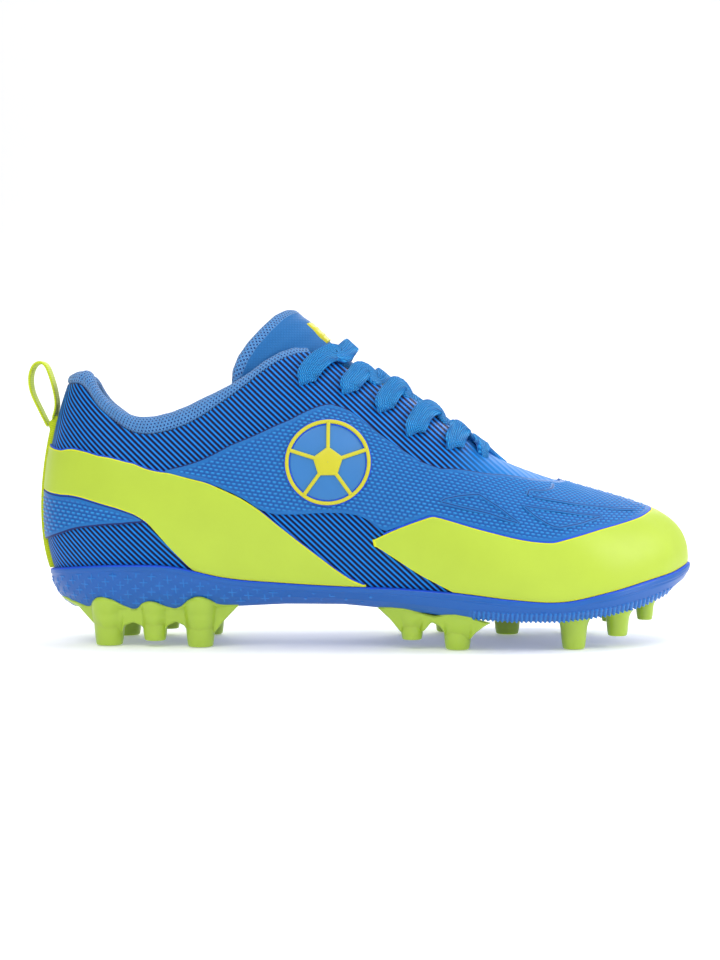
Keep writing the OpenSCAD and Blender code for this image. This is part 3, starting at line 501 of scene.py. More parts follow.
def SN(u, v):
    u, v = np.broadcast_arrays(np.asarray(u, float), np.asarray(v, float))
    e = 1e-3
    du = bez(per(ROWS, u + e), v) - bez(per(ROWS, u - e), v)
    return unit(np.cross(du, dbez(per(ROWS, u), v)))


def SM(u, v):
    u, v = np.broadcast_arrays(np.asarray(u, float), np.asarray(v, float))
    return unit(dbez(per(ROWS, u), v))


def P(u, v, d):
    return S(u, v) + SN(u, v) * np.asarray(d, float)[..., None]


def vlip(u):
    u = np.asarray(u, float)
    c = per(ROWS, u)
    z = per(LR, u)[..., 0]
    a = np.zeros_like(u)
    b = np.full_like(u, 0.3)
    for _ in range(22):
        m = (a + b) / 2
        low = bez(c, m)[..., 2] < z
        a = np.where(low, m, a)
        b = np.where(low, b, m)
    return (a + b) / 2


def pz(x):
    return 13 + np.interp(x, PZX[:, 0], PZX[:, 1])


def G(u):
    g = per(GR, u)
    return np.concatenate([g, pz(g[..., 0])[..., None]], -1)


def ss(x):
    x = np.clip(x, 0, 1)
    return x * x * (3 - 2 * x)


def smooth_lookup(tab, x, r=0.006):
    """Piecewise linear curve with its corners rounded."""
    tab = np.array(tab)
    x = np.asarray(x, float)
    o = np.zeros_like(x)
    ws = np.array([1, 2, 3, 2, 1]) / 9.0
    for k, w_ in zip((-2, -1, 0, 1, 2), ws):
        o = o + w_ * np.interp(x + k * r / 2, tab[:, 0], tab[:, 1])
    return o


def fold(u):
    w_ = np.asarray(u, float) % 2
    return np.where(w_ > 1, 2 - w_, w_)


# distance along the mid line of the upper, so that the printed stripes wrap the heel
_uu = np.linspace(-1, 1, 2401)
_mid = S(_uu, np.full_like(_uu, 0.5))
_L = np.concatenate([[0], np.cumsum(np.linalg.norm(np.diff(_mid[:, :2], axis=0), axis=1))])
_i4 = np.argmin(abs(_uu - 0.4))


def corr(u):
    """(distance along the side) minus X, for either side, zero where the side is straight."""
    a = np.abs(((np.asarray(u, float) + 1) % 2) - 1)
    L = np.interp(a, _uu, _L) - _L[_i4]
    X = np.interp(a, _uu, _mid[:, 0]) - _mid[_i4, 0]
    return np.where(a < 0.4, L - X, 0.0)


def puv(u, pos):
    return np.stack([(pos[..., 0] + corr(u)) / 100, pos[..., 2] / 100], -1)


# ------------------------------------------------------------------ mesh helpers
def M2(p):
    q = np.asarray(p, float).reshape(-1, 3).copy()
    q -= (MX, MY, MZ)
    return q / 1000


def new_obj(name, verts, faces, mats, mat_index=None, uv=None, smooth=True, relief=None):
    me = bpy.data.meshes.new(name)
    V = M2(verts)
    F = [np.asarray(f) for f in faces] if isinstance(faces, list) else faces
    me.vertices.add(len(V))
    me.vertices.foreach_set("co", V.ravel())
    if isinstance(F, np.ndarray):
        n = F.shape[1]
        me.loops.add(F.size)
        me.loops.foreach_set("vertex_index", F.ravel().astype(np.int32))
        me.polygons.add(len(F))
        me.polygons.foreach_set("loop_start", np.arange(0, F.size, n, dtype=np.int32))
        vi = F.ravel()
        npoly = len(F)
    else:
        vi = np.concatenate(F)
        me.loops.add(len(vi))
        me.loops.foreach_set("vertex_index", vi.astype(np.int32))
        me.polygons.add(len(F))
        st = np.concatenate([[0], np.cumsum([len(f) for f in F])[:-1]])
        me.polygons.foreach_set("loop_start", st.astype(np.int32))
        npoly = len(F)
    me.update(calc_edges=True)
    for m in (mats if isinstance(mats, (list, tuple)) else [mats]):
        me.materials.append(m)
    if mat_index is not None:
        me.polygons.foreach_set("material_index", np.asarray(mat_index, dtype=np.int32))
    if uv is not None:
        l = me.uv_layers.new(name="UVMap")
        l.data.foreach_set("uv", np.asarray(uv, float).reshape(-1, 2)[vi].ravel())
    if relief is not None:
        a = me.attributes.new("relief", "FLOAT", "POINT")
        a.data.foreach_set("value", np.asarray(relief, float).ravel())
    me.polygons.foreach_set("use_smooth", np.full(npoly, smooth))
    me.validate()
    me.update()
    o = bpy.data.objects.new(name, me)
    col.objects.link(o)
    return o


def grid_faces(n, m, wrap_i=False, wrap_j=False, base=0, flip=False):
    i = np.arange(n if wrap_i else n - 1)
    j = np.arange(m if wrap_j else m - 1)
    I, J = np.meshgrid(i, j, indexing="ij")
    a = I * m + J
    b = ((I + 1) % n) * m + J
    c = ((I + 1) % n) * m + (J + 1) % m
    d = I * m + (J + 1) % m
    f = np.stack([a, b, c, d], -1).reshape(-1, 4) + base
    return f[:, ::-1] if flip else f


def join_named(name, objs):
    bpy.ops.object.select_all(action="DESELECT")
    for o in objs:
        o.select_set(True)
    bpy.context.view_layer.objects.active = objs[0]
    bpy.ops.object.join()
    objs[0].name = name
    return objs[0]


AL_U, AL_V = np.linspace(0, 2, 241), np.linspace(0, 1, 81)
_g = S(*np.meshgrid(AL_U % 2, AL_V, indexing="ij"))
AL = np.concatenate([np.zeros((241, 1)), np.cumsum(np.linalg.norm(np.diff(_g, axis=1), axis=-1), 1)], 1) + _g[:, :1, 2]


def girth(U, V):
    """Height of a point measured along the skin, from the plate up to the crest."""
    u = (np.asarray(U) % 2) / 2 * 240
    v = np.clip(V, 0, 1) * 80
    i, j = np.clip(u.astype(int), 0, 239), np.clip(v.astype(int), 0, 79)
    a, b = u - i, v - j
    return (AL[i, j] * (1 - a) + AL[i + 1, j] * a) * (1 - b) + (AL[i, j + 1] * (1 - a) + AL[i + 1, j + 1] * a) * b


def panel(name, u0, u1, lo, hi, nu, nv, d0, d1, mats, rim=0.34, relief=None, amp=0.0, bevel=0.3, rim_ends=True):
    """A bonded sheet on the upper: cut edges with a bevel, and its own rim colour on the edge rows; on the lime films
    that rim colour is a painted highlight along the bevel.
    """
    U = np.linspace(u0, u1, nu)
    l, h = lo(U), hi(U)
    ln = np.linalg.norm(dbez(per(ROWS, U), (l + h) / 2), axis=-1)
    span = (h - l)
    r = np.minimum(rim / ln / np.maximum(span, 1e-4), 0.3)
    b = np.minimum(bevel * 0.55 / ln / np.maximum(span, 1e-4), 0.12)
    core = np.linspace(0, 1, nv)
    T = [np.zeros(nu), np.zeros(nu), b, r] + [r + (1 - 2 * r) * c for c in core[1:-1]] + [1 - r, 1 - b, np.ones(nu), np.ones(nu)]
    T = np.stack(T, 1)
    m = T.shape[1]
    V = l[:, None] + span[:, None] * T
    D = np.full((nu, m), d1)
    D[:, 0] = D[:, -1] = d0
    D[:, 1] = D[:, -2] = d1 - bevel * 0.5
    D[:, 2] = D[:, -3] = d1 - bevel * 0.08
    UU = np.repeat(U[:, None], m, 1)
    if rim_ends:
        D[0, :] = D[-1, :] = d0
        D[1, :] = np.minimum(D[1, :], d1 - bevel * 0.4)
        D[-2, :] = np.minimum(D[-2, :], d1 - bevel * 0.4)
        UU[1, :] = UU[0, :] + 1e-5
        UU[-2, :] = UU[-1, :] - 1e-5
    base = S(UU, V)
    N = SN(UU, V)
    uv = puv(UU, base)
    rel = None
    if relief is not None:
        inside = np.minimum(np.minimum(T, 1 - T) * (span * ln)[:, None], 1e9)
        k = ss((inside - 0.7) / 1.4)
        rel = relief(np.stack([base[..., 0], girth(UU, V)], -1), UU, V) * k
        D = D + np.where(k > 0, rel * amp - amp * 0.5 * k, 0)
        # rel goes to the relief attribute, which the embossed film material turns into a painted highlight on raised
        # facets and painted shade in hollows; near the cut edges it is held at a mid tone
        rel = 0.5 * (1 - k) * 0.6 + rel
    pos = base + N * D[..., None]
    F = grid_faces(nu, m)
    mi = np.zeros((nu - 1, m - 1), int)
    mi[:, :3] = 1
    mi[:, -3:] = 1
    if rim_ends:
        mi[:2, :] = 1
        mi[-2:, :] = 1
    return new_obj(name, pos, F, mats, mi.ravel(), uv, relief=rel)


def scales(uvmm, U, V):
    """Rows of small lozenge facets: bright upper edge, deep lower edge; the brightness comes from the lit relief and
    from a painted highlight, since this height also drives the relief tint.
    """
    x, y = uvmm[..., 0], uvmm[..., 1]
    a = math.radians(-9)
    X = (x * math.cos(a) + y * math.sin(a)) / 1.95
    Y = (-x * math.sin(a) + y * math.cos(a)) / 1.34
    row = np.floor(Y)
    fx = (X + 0.5 * (row % 2)) % 1 - 0.5
    fy = Y % 1 - 0.5
    # shingle: wide flat top leaning up, short step below, dark from its own shade and from painted shade through the
    # relief tint
    hx = np.clip(1.35 - np.abs(fx) * 2.7, 0, 1)
    hy = np.clip((fy + 0.42) * 1.5, 0, 1) * np.clip((0.5 - fy) * 4, 0, 1)
    return ss(hx) * ss(hy)


ROOT = "shoe"
made = {}


def done(o, body, slot, *nodes):
    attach(o, body)
    if nodes:
        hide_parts(*nodes)
    made[o.name] = o
    return o


# ------------------------------------------------------------------ base of the upper
nu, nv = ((720, 90))
U = np.linspace(0, 2, nu, endpoint=False)
T = np.linspace(0, 1, nv)
UU, VV = np.meshgrid(U, T, indexing="ij")
out = P(UU, VV, np.zeros_like(UU))
rimo = P(U, np.ones(nu), np.full(nu, -0.6)) + SM(U, np.full(nu, 0.99)) * 0.25
inn_v = T[::-1][:: 3]
UI, VI = np.meshgrid(U, inn_v, indexing="ij")
inn = P(UI, VI, np.full_like(UI, -1.2))
full = np.concatenate([out, rimo[:, None], inn], 1)
Uf = np.repeat(U[:, None], full.shape[1], 1)
uvf = puv(Uf, full)
F = grid_faces(nu, full.shape[1], wrap_i=True)
mi = np.zeros((nu, full.shape[1] - 1), int)
mi[:, nv - 1:nv + 1] = 1
mi[:, nv + 1:] = 2
o = new_obj("base_upper", full, F, [M_STRIPE, M_NAVY, M_LIN], mi.ravel(), uvf)
done(o, ROOT, "base_stripe", "upper_base")

# ------------------------------------------------------------------ overlays
WH = [(0,.708),(.05,.682),(.1,.660),(.15,.676),(.185,.697),(.25,.76),(.2975,.715),(.34,.615),(.375,.485),(.3925,.405),(.4075,.33),(.425,.255),(.4425,.19),(.46,.13),(.4775,.08),(.495,.052)]
WL = [(0,.515),(.06,.483),(.105,.458),(.2075,.44),(.2325,.43),(.2475,.40),(.2525,.37),(.27,.245),(.29,.12),(.31,.06),(.5,.03)]
TH = [(.515,.234),(.6,.345),(.68,.33),(.7575,.315),(.8375,.36),(.9275,.395),(.9825,.425),(1,.445)]
TL = [(.515,.218),(.56,.115),(.5975,.052),(.62,.03),(1,.02)]
XH = [(.2925,.736),(.38,.745),(.455,.71),(.4875,.72),(.515,.725),(.5425,.70),(.575,.63),(.6175,.56),(.645,.555),(.70,.605),(.76,.655),(.825,.69),(.87,.73),(1,.80)]
XL = [(.2925,.722),(.34,.622),(.375,.492),(.3925,.412),(.4075,.38),(.4375,.355),(.49,.335),(.51,.32),(.5225,.29),(.5325,.266),(.56,.297)]
HL = [(0,.26),(.06,.265),(.1,.28),(.16,.315),(.21,.355),(.2425,.397)]
O0, O1 = 0.02, 0.95
VG = 0.004
lw = lambda u: np.maximum(smooth_lookup(WL, abs(u)), vlip(u) + VG)
hw = lambda u: np.maximum(smooth_lookup(WH, abs(u)), vlip(u) + VG + 0.008)
lt = lambda u: np.maximum(smooth_lookup(TL, fold(u)), vlip(u) + VG)
ht = lambda u: smooth_lookup(TH, fold(u))
lx = lambda u: np.where(fold(u) < .56, smooth_lookup(XL, fold(u)), smooth_lookup(TH, fold(u)) + .006)
hx_ = lambda u: smooth_lookup(XH, fold(u))
lh = lambda u: smooth_lookup(HL, abs(u))
hh = lambda u: smooth_lookup(WL, abs(u)) - .006
# lime films: the rim rows take M_EDGE, a painted highlight along the cut edge
done(panel("wing_film", -.495, .495, lw, hw, 560, 46, O0, O1, [M_LIME, M_EDGE], rim=.44), ROOT, "overlay_lime", "wing_overlay")
done(panel("toe_film", .515, 1.485, lt, ht, 620, 56, O0, O1, [M_LIME, M_EDGE], rim=.44), ROOT, "overlay_lime", "toe_overlay")
done(panel("embossed_film", .2925, 1.7075, lx, hx_, 1500, 150, O0, O1 - .05, [M_TEX, M_TEX], rim=.28, relief=scales, amp=.38), ROOT, "overlay_blue", "texture_overlay")
done(panel("embossed_heel_film", -.2425, .2425, lh, hh, 420, 60, O0, O1 - .05, [M_TEX, M_NAVY], rim=.28, relief=scales, amp=.34), ROOT, "overlay_blue", "heel_texture")

print("scene: overlays done")

# thin lines beside the overlays, bright blue along the lime films and navy along the embossed films
def strip(name, u0, u1, curve, off, width, nu, d0, d1, mat):
    U = np.linspace(u0, u1, nu)
    v = curve(U)
    ln = np.linalg.norm(dbez(per(ROWS, U), v), axis=-1)
    T = np.array([0, 0, 0.3, 0.7, 1, 1])
    V = v[:, None] + (off + width * T[None]) / ln[:, None]
    UU = np.repeat(U[:, None], 6, 1)
    D = np.repeat(np.array([[d0, d1 - 0.05, d1, d1, d1 - 0.05, d0]]), nu, 0)
    base = S(UU, V)
    pos = base + SN(UU, V) * D[..., None]
    return new_obj(name, pos, grid_faces(nu, 6), mat, None, puv(UU, base))


lines = [
    strip("line_wing_top", -.35, .35, hw, .02, .55, 500, .02, .60, M_BRIGHT),
    strip("line_wing_low", -.2475, .2475, lw, -.55, .55, 400, .02, .60, M_BRIGHT),
    strip("line_wing_front_l", .3925, .494, lambda u: smooth_lookup(WH, abs(u)), .02, .38, 260, .02, .60, M_BRIGHT),
    strip("line_texture_top", .30, .845, hx_, .0, .34, 700, .02, .78, M_NAVY),
    strip("line_texture_top_m", 1.155, 1.70, hx_, .0, .34, 700, .02, .78, M_NAVY),
    strip("line_heel_texture", -.2425, .2425, lh, -.30, .34, 300, .02, .78, M_NAVY),
    strip("line_toe_top", .53, 1.47, ht, .04, .50, 700, .3, .97, M_BRIGHT),
    strip("line_wing_front_m", -.494, -.3925, lambda u: smooth_lookup(WH, abs(u)), .02, .38, 260, .02, .60, M_BRIGHT),
]
done(join_named("printed_lines", lines), ROOT, "overlay_blue")

# embossed outlines on the forefoot: a thin groove with a raised lip; the groove floor is painted navy as painted shade
def outline(name, pts, side, closed, w=.42):
    pts = np.array(pts, float)
    if closed:
        pts = np.concatenate([pts, pts[:1]])
    seg = []
    for a, b in zip(pts[:-1], pts[1:]):
        n = max(3, int(np.linalg.norm((b - a) * (260, 70)) / .5))
        seg.append(a + (b - a) * np.linspace(0, 1, n, endpoint=False)[:, None])
    q = np.concatenate(seg + [pts[-1:]])
    for _ in range(4):
        if closed:
            q[1:-1] = (q[:-2] + 2 * q[1:-1] + q[2:]) / 4
        else:
            q[1:-1] = (q[:-2] + 2 * q[1:-1] + q[2:]) / 4
    u, v = (q[:, 0] if side < 0 else 2 - q[:, 0]), q[:, 1]
    c = P(u, v, np.full(len(u), 1.12))
    N = SN(u, v)
    d = unit(np.gradient(c, axis=0))
    x = unit(np.cross(d, N))
    prof = [(-w * 1.6, -.15), (-w * .9, .16), (-w * .35, .10), (0, .02), (w * .35, .10), (w * .9, .16), (w * 1.6, -.15)]
    pos = np.stack([c + x * a + N * b for a, b in prof], 1)
    F = grid_faces(len(u), 7)
    mi = np.zeros((len(u) - 1, 6), int)
    # groove floor in navy: painted shade in the groove
    mi[:, 2:4] = 1
    return new_obj(name, pos, F, [M_TEX, M_NAVY], mi.ravel(), np.repeat(q[:, None] * 2, 7, 1), relief=np.full((len(u), 7), .35))


EA = [(.62, .41), (.6285, .427), (.6545, .458), (.687, .49), (.7095, .454), (.7275, .397), (.6875, .413), (.646, .41)]
EB = [(.751, .488), (.8025, .471), (.8615, .432), (.8135, .398), (.7795, .383), (.7695, .395), (.7575, .437)]
ED = [(.7825, .544), (.8215, .534), (.8805, .498), (.939, .451)]
EC = [(.774, .551), (.786, .584), (.817, .596), (.84, .626), (.869, .688)]
em = []
for sgn in (-1, 1):
    em += [outline("e", EA, sgn, True), outline("e", EB, sgn, True), outline("e", ED, sgn, False), outline("e", EC, sgn, False)]
done(join_named("embossed_outlines", em), ROOT, "overlay_blue")

# ------------------------------------------------------------------ heel strip
def tape_on_surface(name, uc, half, lo, hi, d0, d1, mat, n=160, m=16):
    V = np.linspace(lo, hi, n)
    a = np.linspace(-1, 1, m)
    prof = d1 - 0.12 * np.abs(a) ** 6
    aa = np.concatenate([[-1], a, [1]])
    dd = np.concatenate([[d0], prof, [d0]])
    UU = uc + half * aa[None] + np.zeros((n, 1))
    VV = np.repeat(V[:, None], m + 2, 1)
    D = np.repeat(dd[None], n, 0)
    D[:, 1:-1] += (.95 * ss((V - .765) / .03) * (1 - .85 * ss((V - .798) / .020)))[:, None]
    D[0] = D[-1] = d0
    base = S(UU, VV)
    pos = base + SN(UU, VV) * D[..., None]
    L = np.concatenate([[0], np.cumsum(np.linalg.norm(np.diff(base[:, m // 2], axis=0), axis=1))])
    W = np.repeat(aa[None] * 2.7, n, 0)
    uv = np.stack([np.repeat(L[:, None], m + 2, 1), W], -1)
    return new_obj(name, pos, grid_faces(n, m + 2), mat, None, uv)


vl0 = float(vlip(np.array([0.0]))[0])
done(tape_on_surface("heel_tape", 0, .021, vl0 + .005, .836, .0, 1.75, M_WEB), ROOT, "webbing_lime", "heel_strip")

# ------------------------------------------------------------------ badges
def buv(side, a, b):
    u = .485 + .05375 * a / 14 + .015 * b / 14
    v = .525 - .03 * a / 14 + .1375 * b / 14
    u = u if side < 0 else 2 - u
    # a true circle seen from the side: solve for the skin point at each x and z
    c = S(.485 if side < 0 else 1.515, .525)
    X, Z = c[..., 0] + .6 + a * 1.05, c[..., 2] - .7 + b * 1.03
    e = 1e-4
    for _ in range(6):
        q = S(u, v)
        du, dv = (S(u + e, v) - q) / e, (S(u, v + e) - q) / e
        rx, rz = X - q[..., 0], Z - q[..., 2]
        det = du[..., 0] * dv[..., 2] - dv[..., 0] * du[..., 2]
        u = u + (rx * dv[..., 2] - dv[..., 0] * rz) / det
        v = v + (du[..., 0] * rz - du[..., 2] * rx) / det
    return u, v


def badge(side, name):
    objs = []
    nt = 200
    th = np.linspace(0, 2 * math.pi, nt, endpoint=False) * (1 if side < 0 else -1)
    for nm, prof, mat in (
        ("rim_out", [(14.4, .96), (14.35, 1.25), (14.15, 1.30), (14.0, 1.26), (13.95, .96)], M_BRIGHT),
        ("ring", [(14.02, .95), (13.98, 1.60), (13.84, 1.76), (13.4, 1.82), (12.96, 1.76), (12.82, 1.60), (12.78, .95)], M_YEL),
        ("rim_in", [(12.84, .96), (12.8, 1.27), (12.6, 1.32), (12.4, 1.27), (12.36, .96)], M_BRIGHT),
    ):
        R = np.array(prof)
        A = R[None, :, 0] * np.cos(th)[:, None]
        B = R[None, :, 0] * np.sin(th)[:, None]
        u, v = buv(side, A, B)
        pos = P(u, v, np.repeat(R[None, :, 1], nt, 0))
        objs.append(new_obj(name + nm, pos, grid_faces(nt, len(prof), wrap_i=True), mat, None, np.stack([A, B], -1) / 100))
    # disc behind the icon, smooth film
    rr = np.linspace(0.02, 12.5, 40)
    A = rr[None] * np.cos(th)[:, None]
    B = rr[None] * np.sin(th)[:, None]
    u, v = buv(side, A, B)
    D = np.full(A.shape, 1.18)
    D[:, -1] = .94
    objs.append(new_obj(name + "field", P(u, v, D), grid_faces(nt, 40, wrap_i=True), M_FIELD, None, np.stack([A, B], -1) / 100))
    # pentagon with soft edges, and five seams
    tp = np.array([math.radians(90 + 72 * k) * (1 if side < 0 else 1) for k in range(5)])
    tt = np.linspace(0, 2 * math.pi, 160, endpoint=False)
    pr = 5.2 * math.cos(math.radians(36)) / np.cos((((tt - math.radians(90)) % math.radians(72)) - math.radians(36)))
    f = np.array([0.02, .5, .86, .95, 1.0, 1.0])
    d = np.array([1.96, 1.96, 1.94, 1.85, 1.66, 1.0])
    A = (pr[:, None] * f[None]) * np.cos(tt)[:, None]
    B = (pr[:, None] * f[None]) * np.sin(tt)[:, None]
    u, v = buv(side, A, B)
    F = grid_faces(160, 6, wrap_i=True)
    if side > 0:
        F = F[:, ::-1]
    objs.append(new_obj(name + "pent", P(u, v, np.repeat(d[None], 160, 0)), F, M_YEL, None, np.stack([A, B], -1) / 100))
    for k in range(5):
        a0 = math.radians(90 + 72 * k)
        r = np.linspace(4.5, 13.0, 30)
        x = np.array([-.62, -.6, -.42, 0, .42, .6, .62])
        dd = np.array([1.0, 1.62, 1.84, 1.90, 1.84, 1.62, 1.0])
        A = r[:, None] * math.cos(a0) - x[None] * math.sin(a0)
        B = r[:, None] * math.sin(a0) + x[None] * math.cos(a0)
        u, v = buv(side, A, B)
        F = grid_faces(30, 7)
        if side > 0:
            F = F[:, ::-1]
        objs.append(new_obj(name + f"seam{k}", P(u, v, np.repeat(dd[None], 30, 0)), F, M_YEL, None, np.stack([A, B], -1) / 100))
    return join_named(name, objs)


M_FIELD = mat_film("badge_field_film", lin(52, 128, 200), 0.4, 0.2, 0.3, 0.05)
done(badge(-1, "badge_lateral_print"), ROOT, "badge_yellow", "badge_lateral")
done(badge(1, "badge_medial_print"), ROOT, "badge_yellow", "badge_medial")

# ------------------------------------------------------------------ outsole plate
def Nxy(u):
    n = SN(u, np.full_like(np.asarray(u, float), .03))
    n = n.copy()
    n[..., 2] = 0
    return n


_u = np.linspace(0, 1, 61)
_c0 = per(ROWS, _u)[:, 0]
fz = lambda x: np.interp(x, _c0[:, 0], _c0[:, 2])


def pocket(x):
    return 6 * (1 - ss((x - 52) / 34)) * (.86 + .14 * ss(x / 33))


def edge_pt(u, inset):
    return P(u, np.zeros_like(u), np.full_like(u, -inset))


def spine_pt(u):
    a, b = edge_pt(u, 0), edge_pt(2 - u, 0)
    return np.stack([118 + (a[:, 0] - 118) * .93, (a[:, 1] + b[:, 1]) / 2, np.zeros(len(u))], 1)


def wall_curve(u, t):
    """t from 0 at the lip to 1 at the bottom edge, with a full rounded bulge."""
    a = P(u, vlip(u), np.full_like(u, 1.25))
    g = G(u)
    n = Nxy(u)
    b = np.interp(t, [0, .06, .12, .3, .62, .88, .97, 1], [0, .55, .85, 1.9, 2.25, 1.25, .5, 0])
    return a[:, None] * (1 - t)[None, :, None] + g[:, None] * t[None, :, None] + n[:, None] * b[None, :, None]


def wall_marks(X, Z, zlip, zbot, x):
    """Raised plus signs over the heel and waist, ribs under the forefoot."""
    a = np.array([5.6, -1.1])
    b = np.array([2.7, -3.25])
    det = a[0] * b[1] - a[1] * b[0]
    p = ((X - 2) * b[1] - (Z - 22) * b[0]) / det
    q = (-(X - 2) * a[1] + (Z - 22) * a[0]) / det
    h = np.zeros_like(X)
    for di in (0, 1):
        for dj in (0, 1):
            pi, qj = np.floor(p) + di, np.floor(q) + dj
            cx = 2 + pi * a[0] + qj * b[0]
            cz = 22 + pi * a[1] + qj * b[1]
            dx, dz = X - cx, Z - cz
            k = (np.abs(np.sin(pi * 12.9898 + qj * 78.233) * 43758.5453) % 1)
            full = (cx < 84) | (k > .8)
            corner = (~full) & (k > .45)
            dot = (~full) & (~corner)
            w_ = .17
            arm = lambda u_, v_, l: np.clip((l - np.abs(u_)) / .12, 0, 1) * np.clip((w_ - np.abs(v_)) / .12 + .5, 0, 1)
            plus = np.maximum(arm(dx, dz, 1.55), arm(dz, dx, 1.55))
            cor = np.maximum(arm(dx - .8, dz, 1.0), arm(dz - .8, dx, 1.0))
            dt = np.clip((.45 - np.hypot(dx, dz)) / .12 + .5, 0, 1)
            h = np.maximum(h, np.where(full, plus, np.where(corner, cor, dt)))
    keep = ss((zlip - 2.3 - Z) / .5) * ss((Z - zbot - 1.2) / .5) * (x < 118)
    h = h * keep
    rib = np.clip(np.sin(X / 1.62 * 2 * math.pi) * 1.6 + .3, 0, 1) * ss((x - 150) / 4) * ss((226 - x) / 4)
    rib = rib * ss((zbot + 3.4 - Z) / .5)
    return h, rib


nu = 1500
nt = 52
U = np.linspace(0, 2, nu, endpoint=False)
t = np.linspace(0, 1, nt)
Wp = wall_curve(U, t)
X = Wp[..., 0] + corr(U)[:, None]
zl = Wp[:, :1, 2]
zb_ = G(U)[:, 2][:, None]
h, rib = wall_marks(X, Wp[..., 2], zl, zb_, Wp[..., 0])
ridge = ss((Wp[..., 2] - (zl - 1.9)) / .35)
n = Nxy(U)[:, None]
Wp = Wp + n * (h * .34 + rib * .75 + ridge * .35)[..., None]
Wp[..., 2] -= rib * ss((t[None] - .9) / .1) * .5
sp = spine_pt(U)
ed = edge_pt(U, 0)
onto = lambda p, d, k: np.stack([p[:, 0], p[:, 1], fz(p[:, 0]) - d - k * pocket(p[:, 0])], 1)
mixp = lambda a, b, f: a * (1 - f) + b * f
rows = [onto(sp, .3, 1)] + [onto(mixp(sp, ed, f), .3, 1) for f in (.3, .6, .78)] + [onto(mixp(sp, ed, .80), .3, 0)]
rows += [onto(P(U, np.zeros(nu), np.full(nu, .15)), .3, 0), P(U, vlip(U) * .5, np.full(nu, .15)), P(U, vlip(U), np.full(nu, .12)), P(U, vlip(U) + .002, np.full(nu, .2)),
         P(U, vlip(U) + .003, np.full(nu, .7)), P(U, vlip(U) + .002, np.full(nu, 1.1))]
nin = len(rows)
g = G(U)
bot = []
bt = []


def tread(x, y):
    """Three ribs along the arch, shallow chevrons under the heel and the forefoot."""
    y = np.abs(y)
    a = (ss((1.5 - np.abs(y - 9)) / .8) + ss((1.5 - y) / .8)) * ss((x - 74) / 6) * ss((119 - x) / 6)
    line = lambda p_, q_, w_: ss((w_ - np.abs(((x + q_ * y) / p_) % 1 - .5) * p_) / .35)
    b = .6 * line(7.5, .55, .7) * ss((x - 126) / 4) * ss((222 - x) / 6)
    c_ = .6 * line(6.0, -.45, .6) * ss((x - 14) / 4) * ss((68 - x) / 4)
    return a + b + c_


for f in [.03, .08] + list(np.linspace(.1, 1, 46)):
    c = mixp(g, sp, f)
    k = tread(c[:, 0], c[:, 1] - sp[:, 1]) * (ss((f - .1) / .08) if f > .1 else 0)
    c[:, 2] = pz(c[:, 0]) - (0.10 if f == .03 else .15) - .7 * k
    bot.append(c)
    bt.append(k * .9)
A = np.concatenate([np.stack(rows, 1), Wp, np.stack(bot, 1)], 1)
mrows = A.shape[1]
mi = np.zeros((nu, mrows - 1), int)
mi[:, nin - 4:nin + 1] = 1
uv = np.stack([(A[..., 0] + corr(U)[:, None]) / 100, A[..., 2] / 100], -1)
F = grid_faces(nu, mrows, wrap_i=True)
# colour the marks by height: the plate material paints the raised marks and tread lighter, a painted highlight
tone = np.zeros((nu, mrows))
tone[:, nin:nin + nt] = np.maximum(h, np.maximum(rib, 0))
tone[:, nin + nt:] = np.stack(bt, 1)
o = new_obj("plate_shell", A, F, [M_SOLE, M_BRIGHT], mi.ravel(), uv, relief=tone)
done(o, ROOT, "plate_blue", "outsole_plate")

# ------------------------------------------------------------------ studs
def under(x):
    return pz(np.asarray(x, float)) - .25


def stud(x, y, r, z, rb):
    top = float(under(x)) + .5
    H = top - z
    prof = [(0.0, 0.0), (r * .55, .0), (r * .84, .04), (r * .94, .20), (r * .99, .55), (r * 1.01, 1.1)]
    for f_ in (.2, .35, .5, .62, .72, .8, .86, .91, .95, .98, 1.0):
        prof.append((r * (1.01 + .26 * f_) + max(0, rb * 1.08 - 1.27 * r) * max(0, (f_ - .62) / .38) ** 2.2, H * f_))
    prof = np.array(prof)
    tt = np.linspace(0, len(prof) - 1, 46)
    R = np.interp(tt, range(len(prof)), prof[:, 0])
    Zs = np.interp(tt, range(len(prof)), prof[:, 1])
    a = np.linspace(0, 2 * math.pi, 56, endpoint=False)
    pos = np.stack([x + R[None] * np.cos(a)[:, None], y + R[None] * np.sin(a)[:, None], z + np.repeat(Zs[None], 56, 0)], -1)
    uv = np.stack([np.repeat(a[:, None] * r, 46, 1), np.repeat(Zs[None], 56, 0)], -1) / 10
    return new_obj("s", pos, grid_faces(56, 46, wrap_i=True)[:, ::-1], M_STUD, None, uv)


TOPH = [(11.6, 17.0), (13.5, 16.2), (18.0, 13.6), (20.0, 13.9), (21.6, 16.0), (23.5, 17.3), (25.6, 17.5), (28.5, 16.6), (31.5, 14.6), (34.6, 13.1), (36.5, 13.6), (38.4, 15.5), (40.8, 16.3), (43.4, 15.9), (46.2, 14.4), (49.3, 13.5), (51.6, 14.3), (54.2, 16.7), (57, 18.0), (59.3, 18.0), (62, 16.9), (64.4, 15.2), (66.5, 14.9), (71.6, 14.9)]
BOTH = [(11.6, 15.6), (12.6, 14.8), (21.8, 5.5), (24, 3.4), (27, 3.2), (30, 4.5), (31, 7.2), (34.5, 8.5), (37.6, 7.2), (38.6, 5.2), (42, 4.4), (45.5, 5.2), (46.5, 7.4), (49.5, 8.8), (52.6, 7.4), (53.8, 4.5), (58, 3.2), (62, 4), (63.3, 5.2), (66.4, 9.3), (71.6, 14.7)]
TOPF = [(120.1, 14.5), (124, 14.7), (129.2, 14.4), (134, 13.2), (139.1, 11.9), (143, 12.6), (146.6, 12.8), (151, 12.0), (155, 10.8), (158.2, 9.9)]
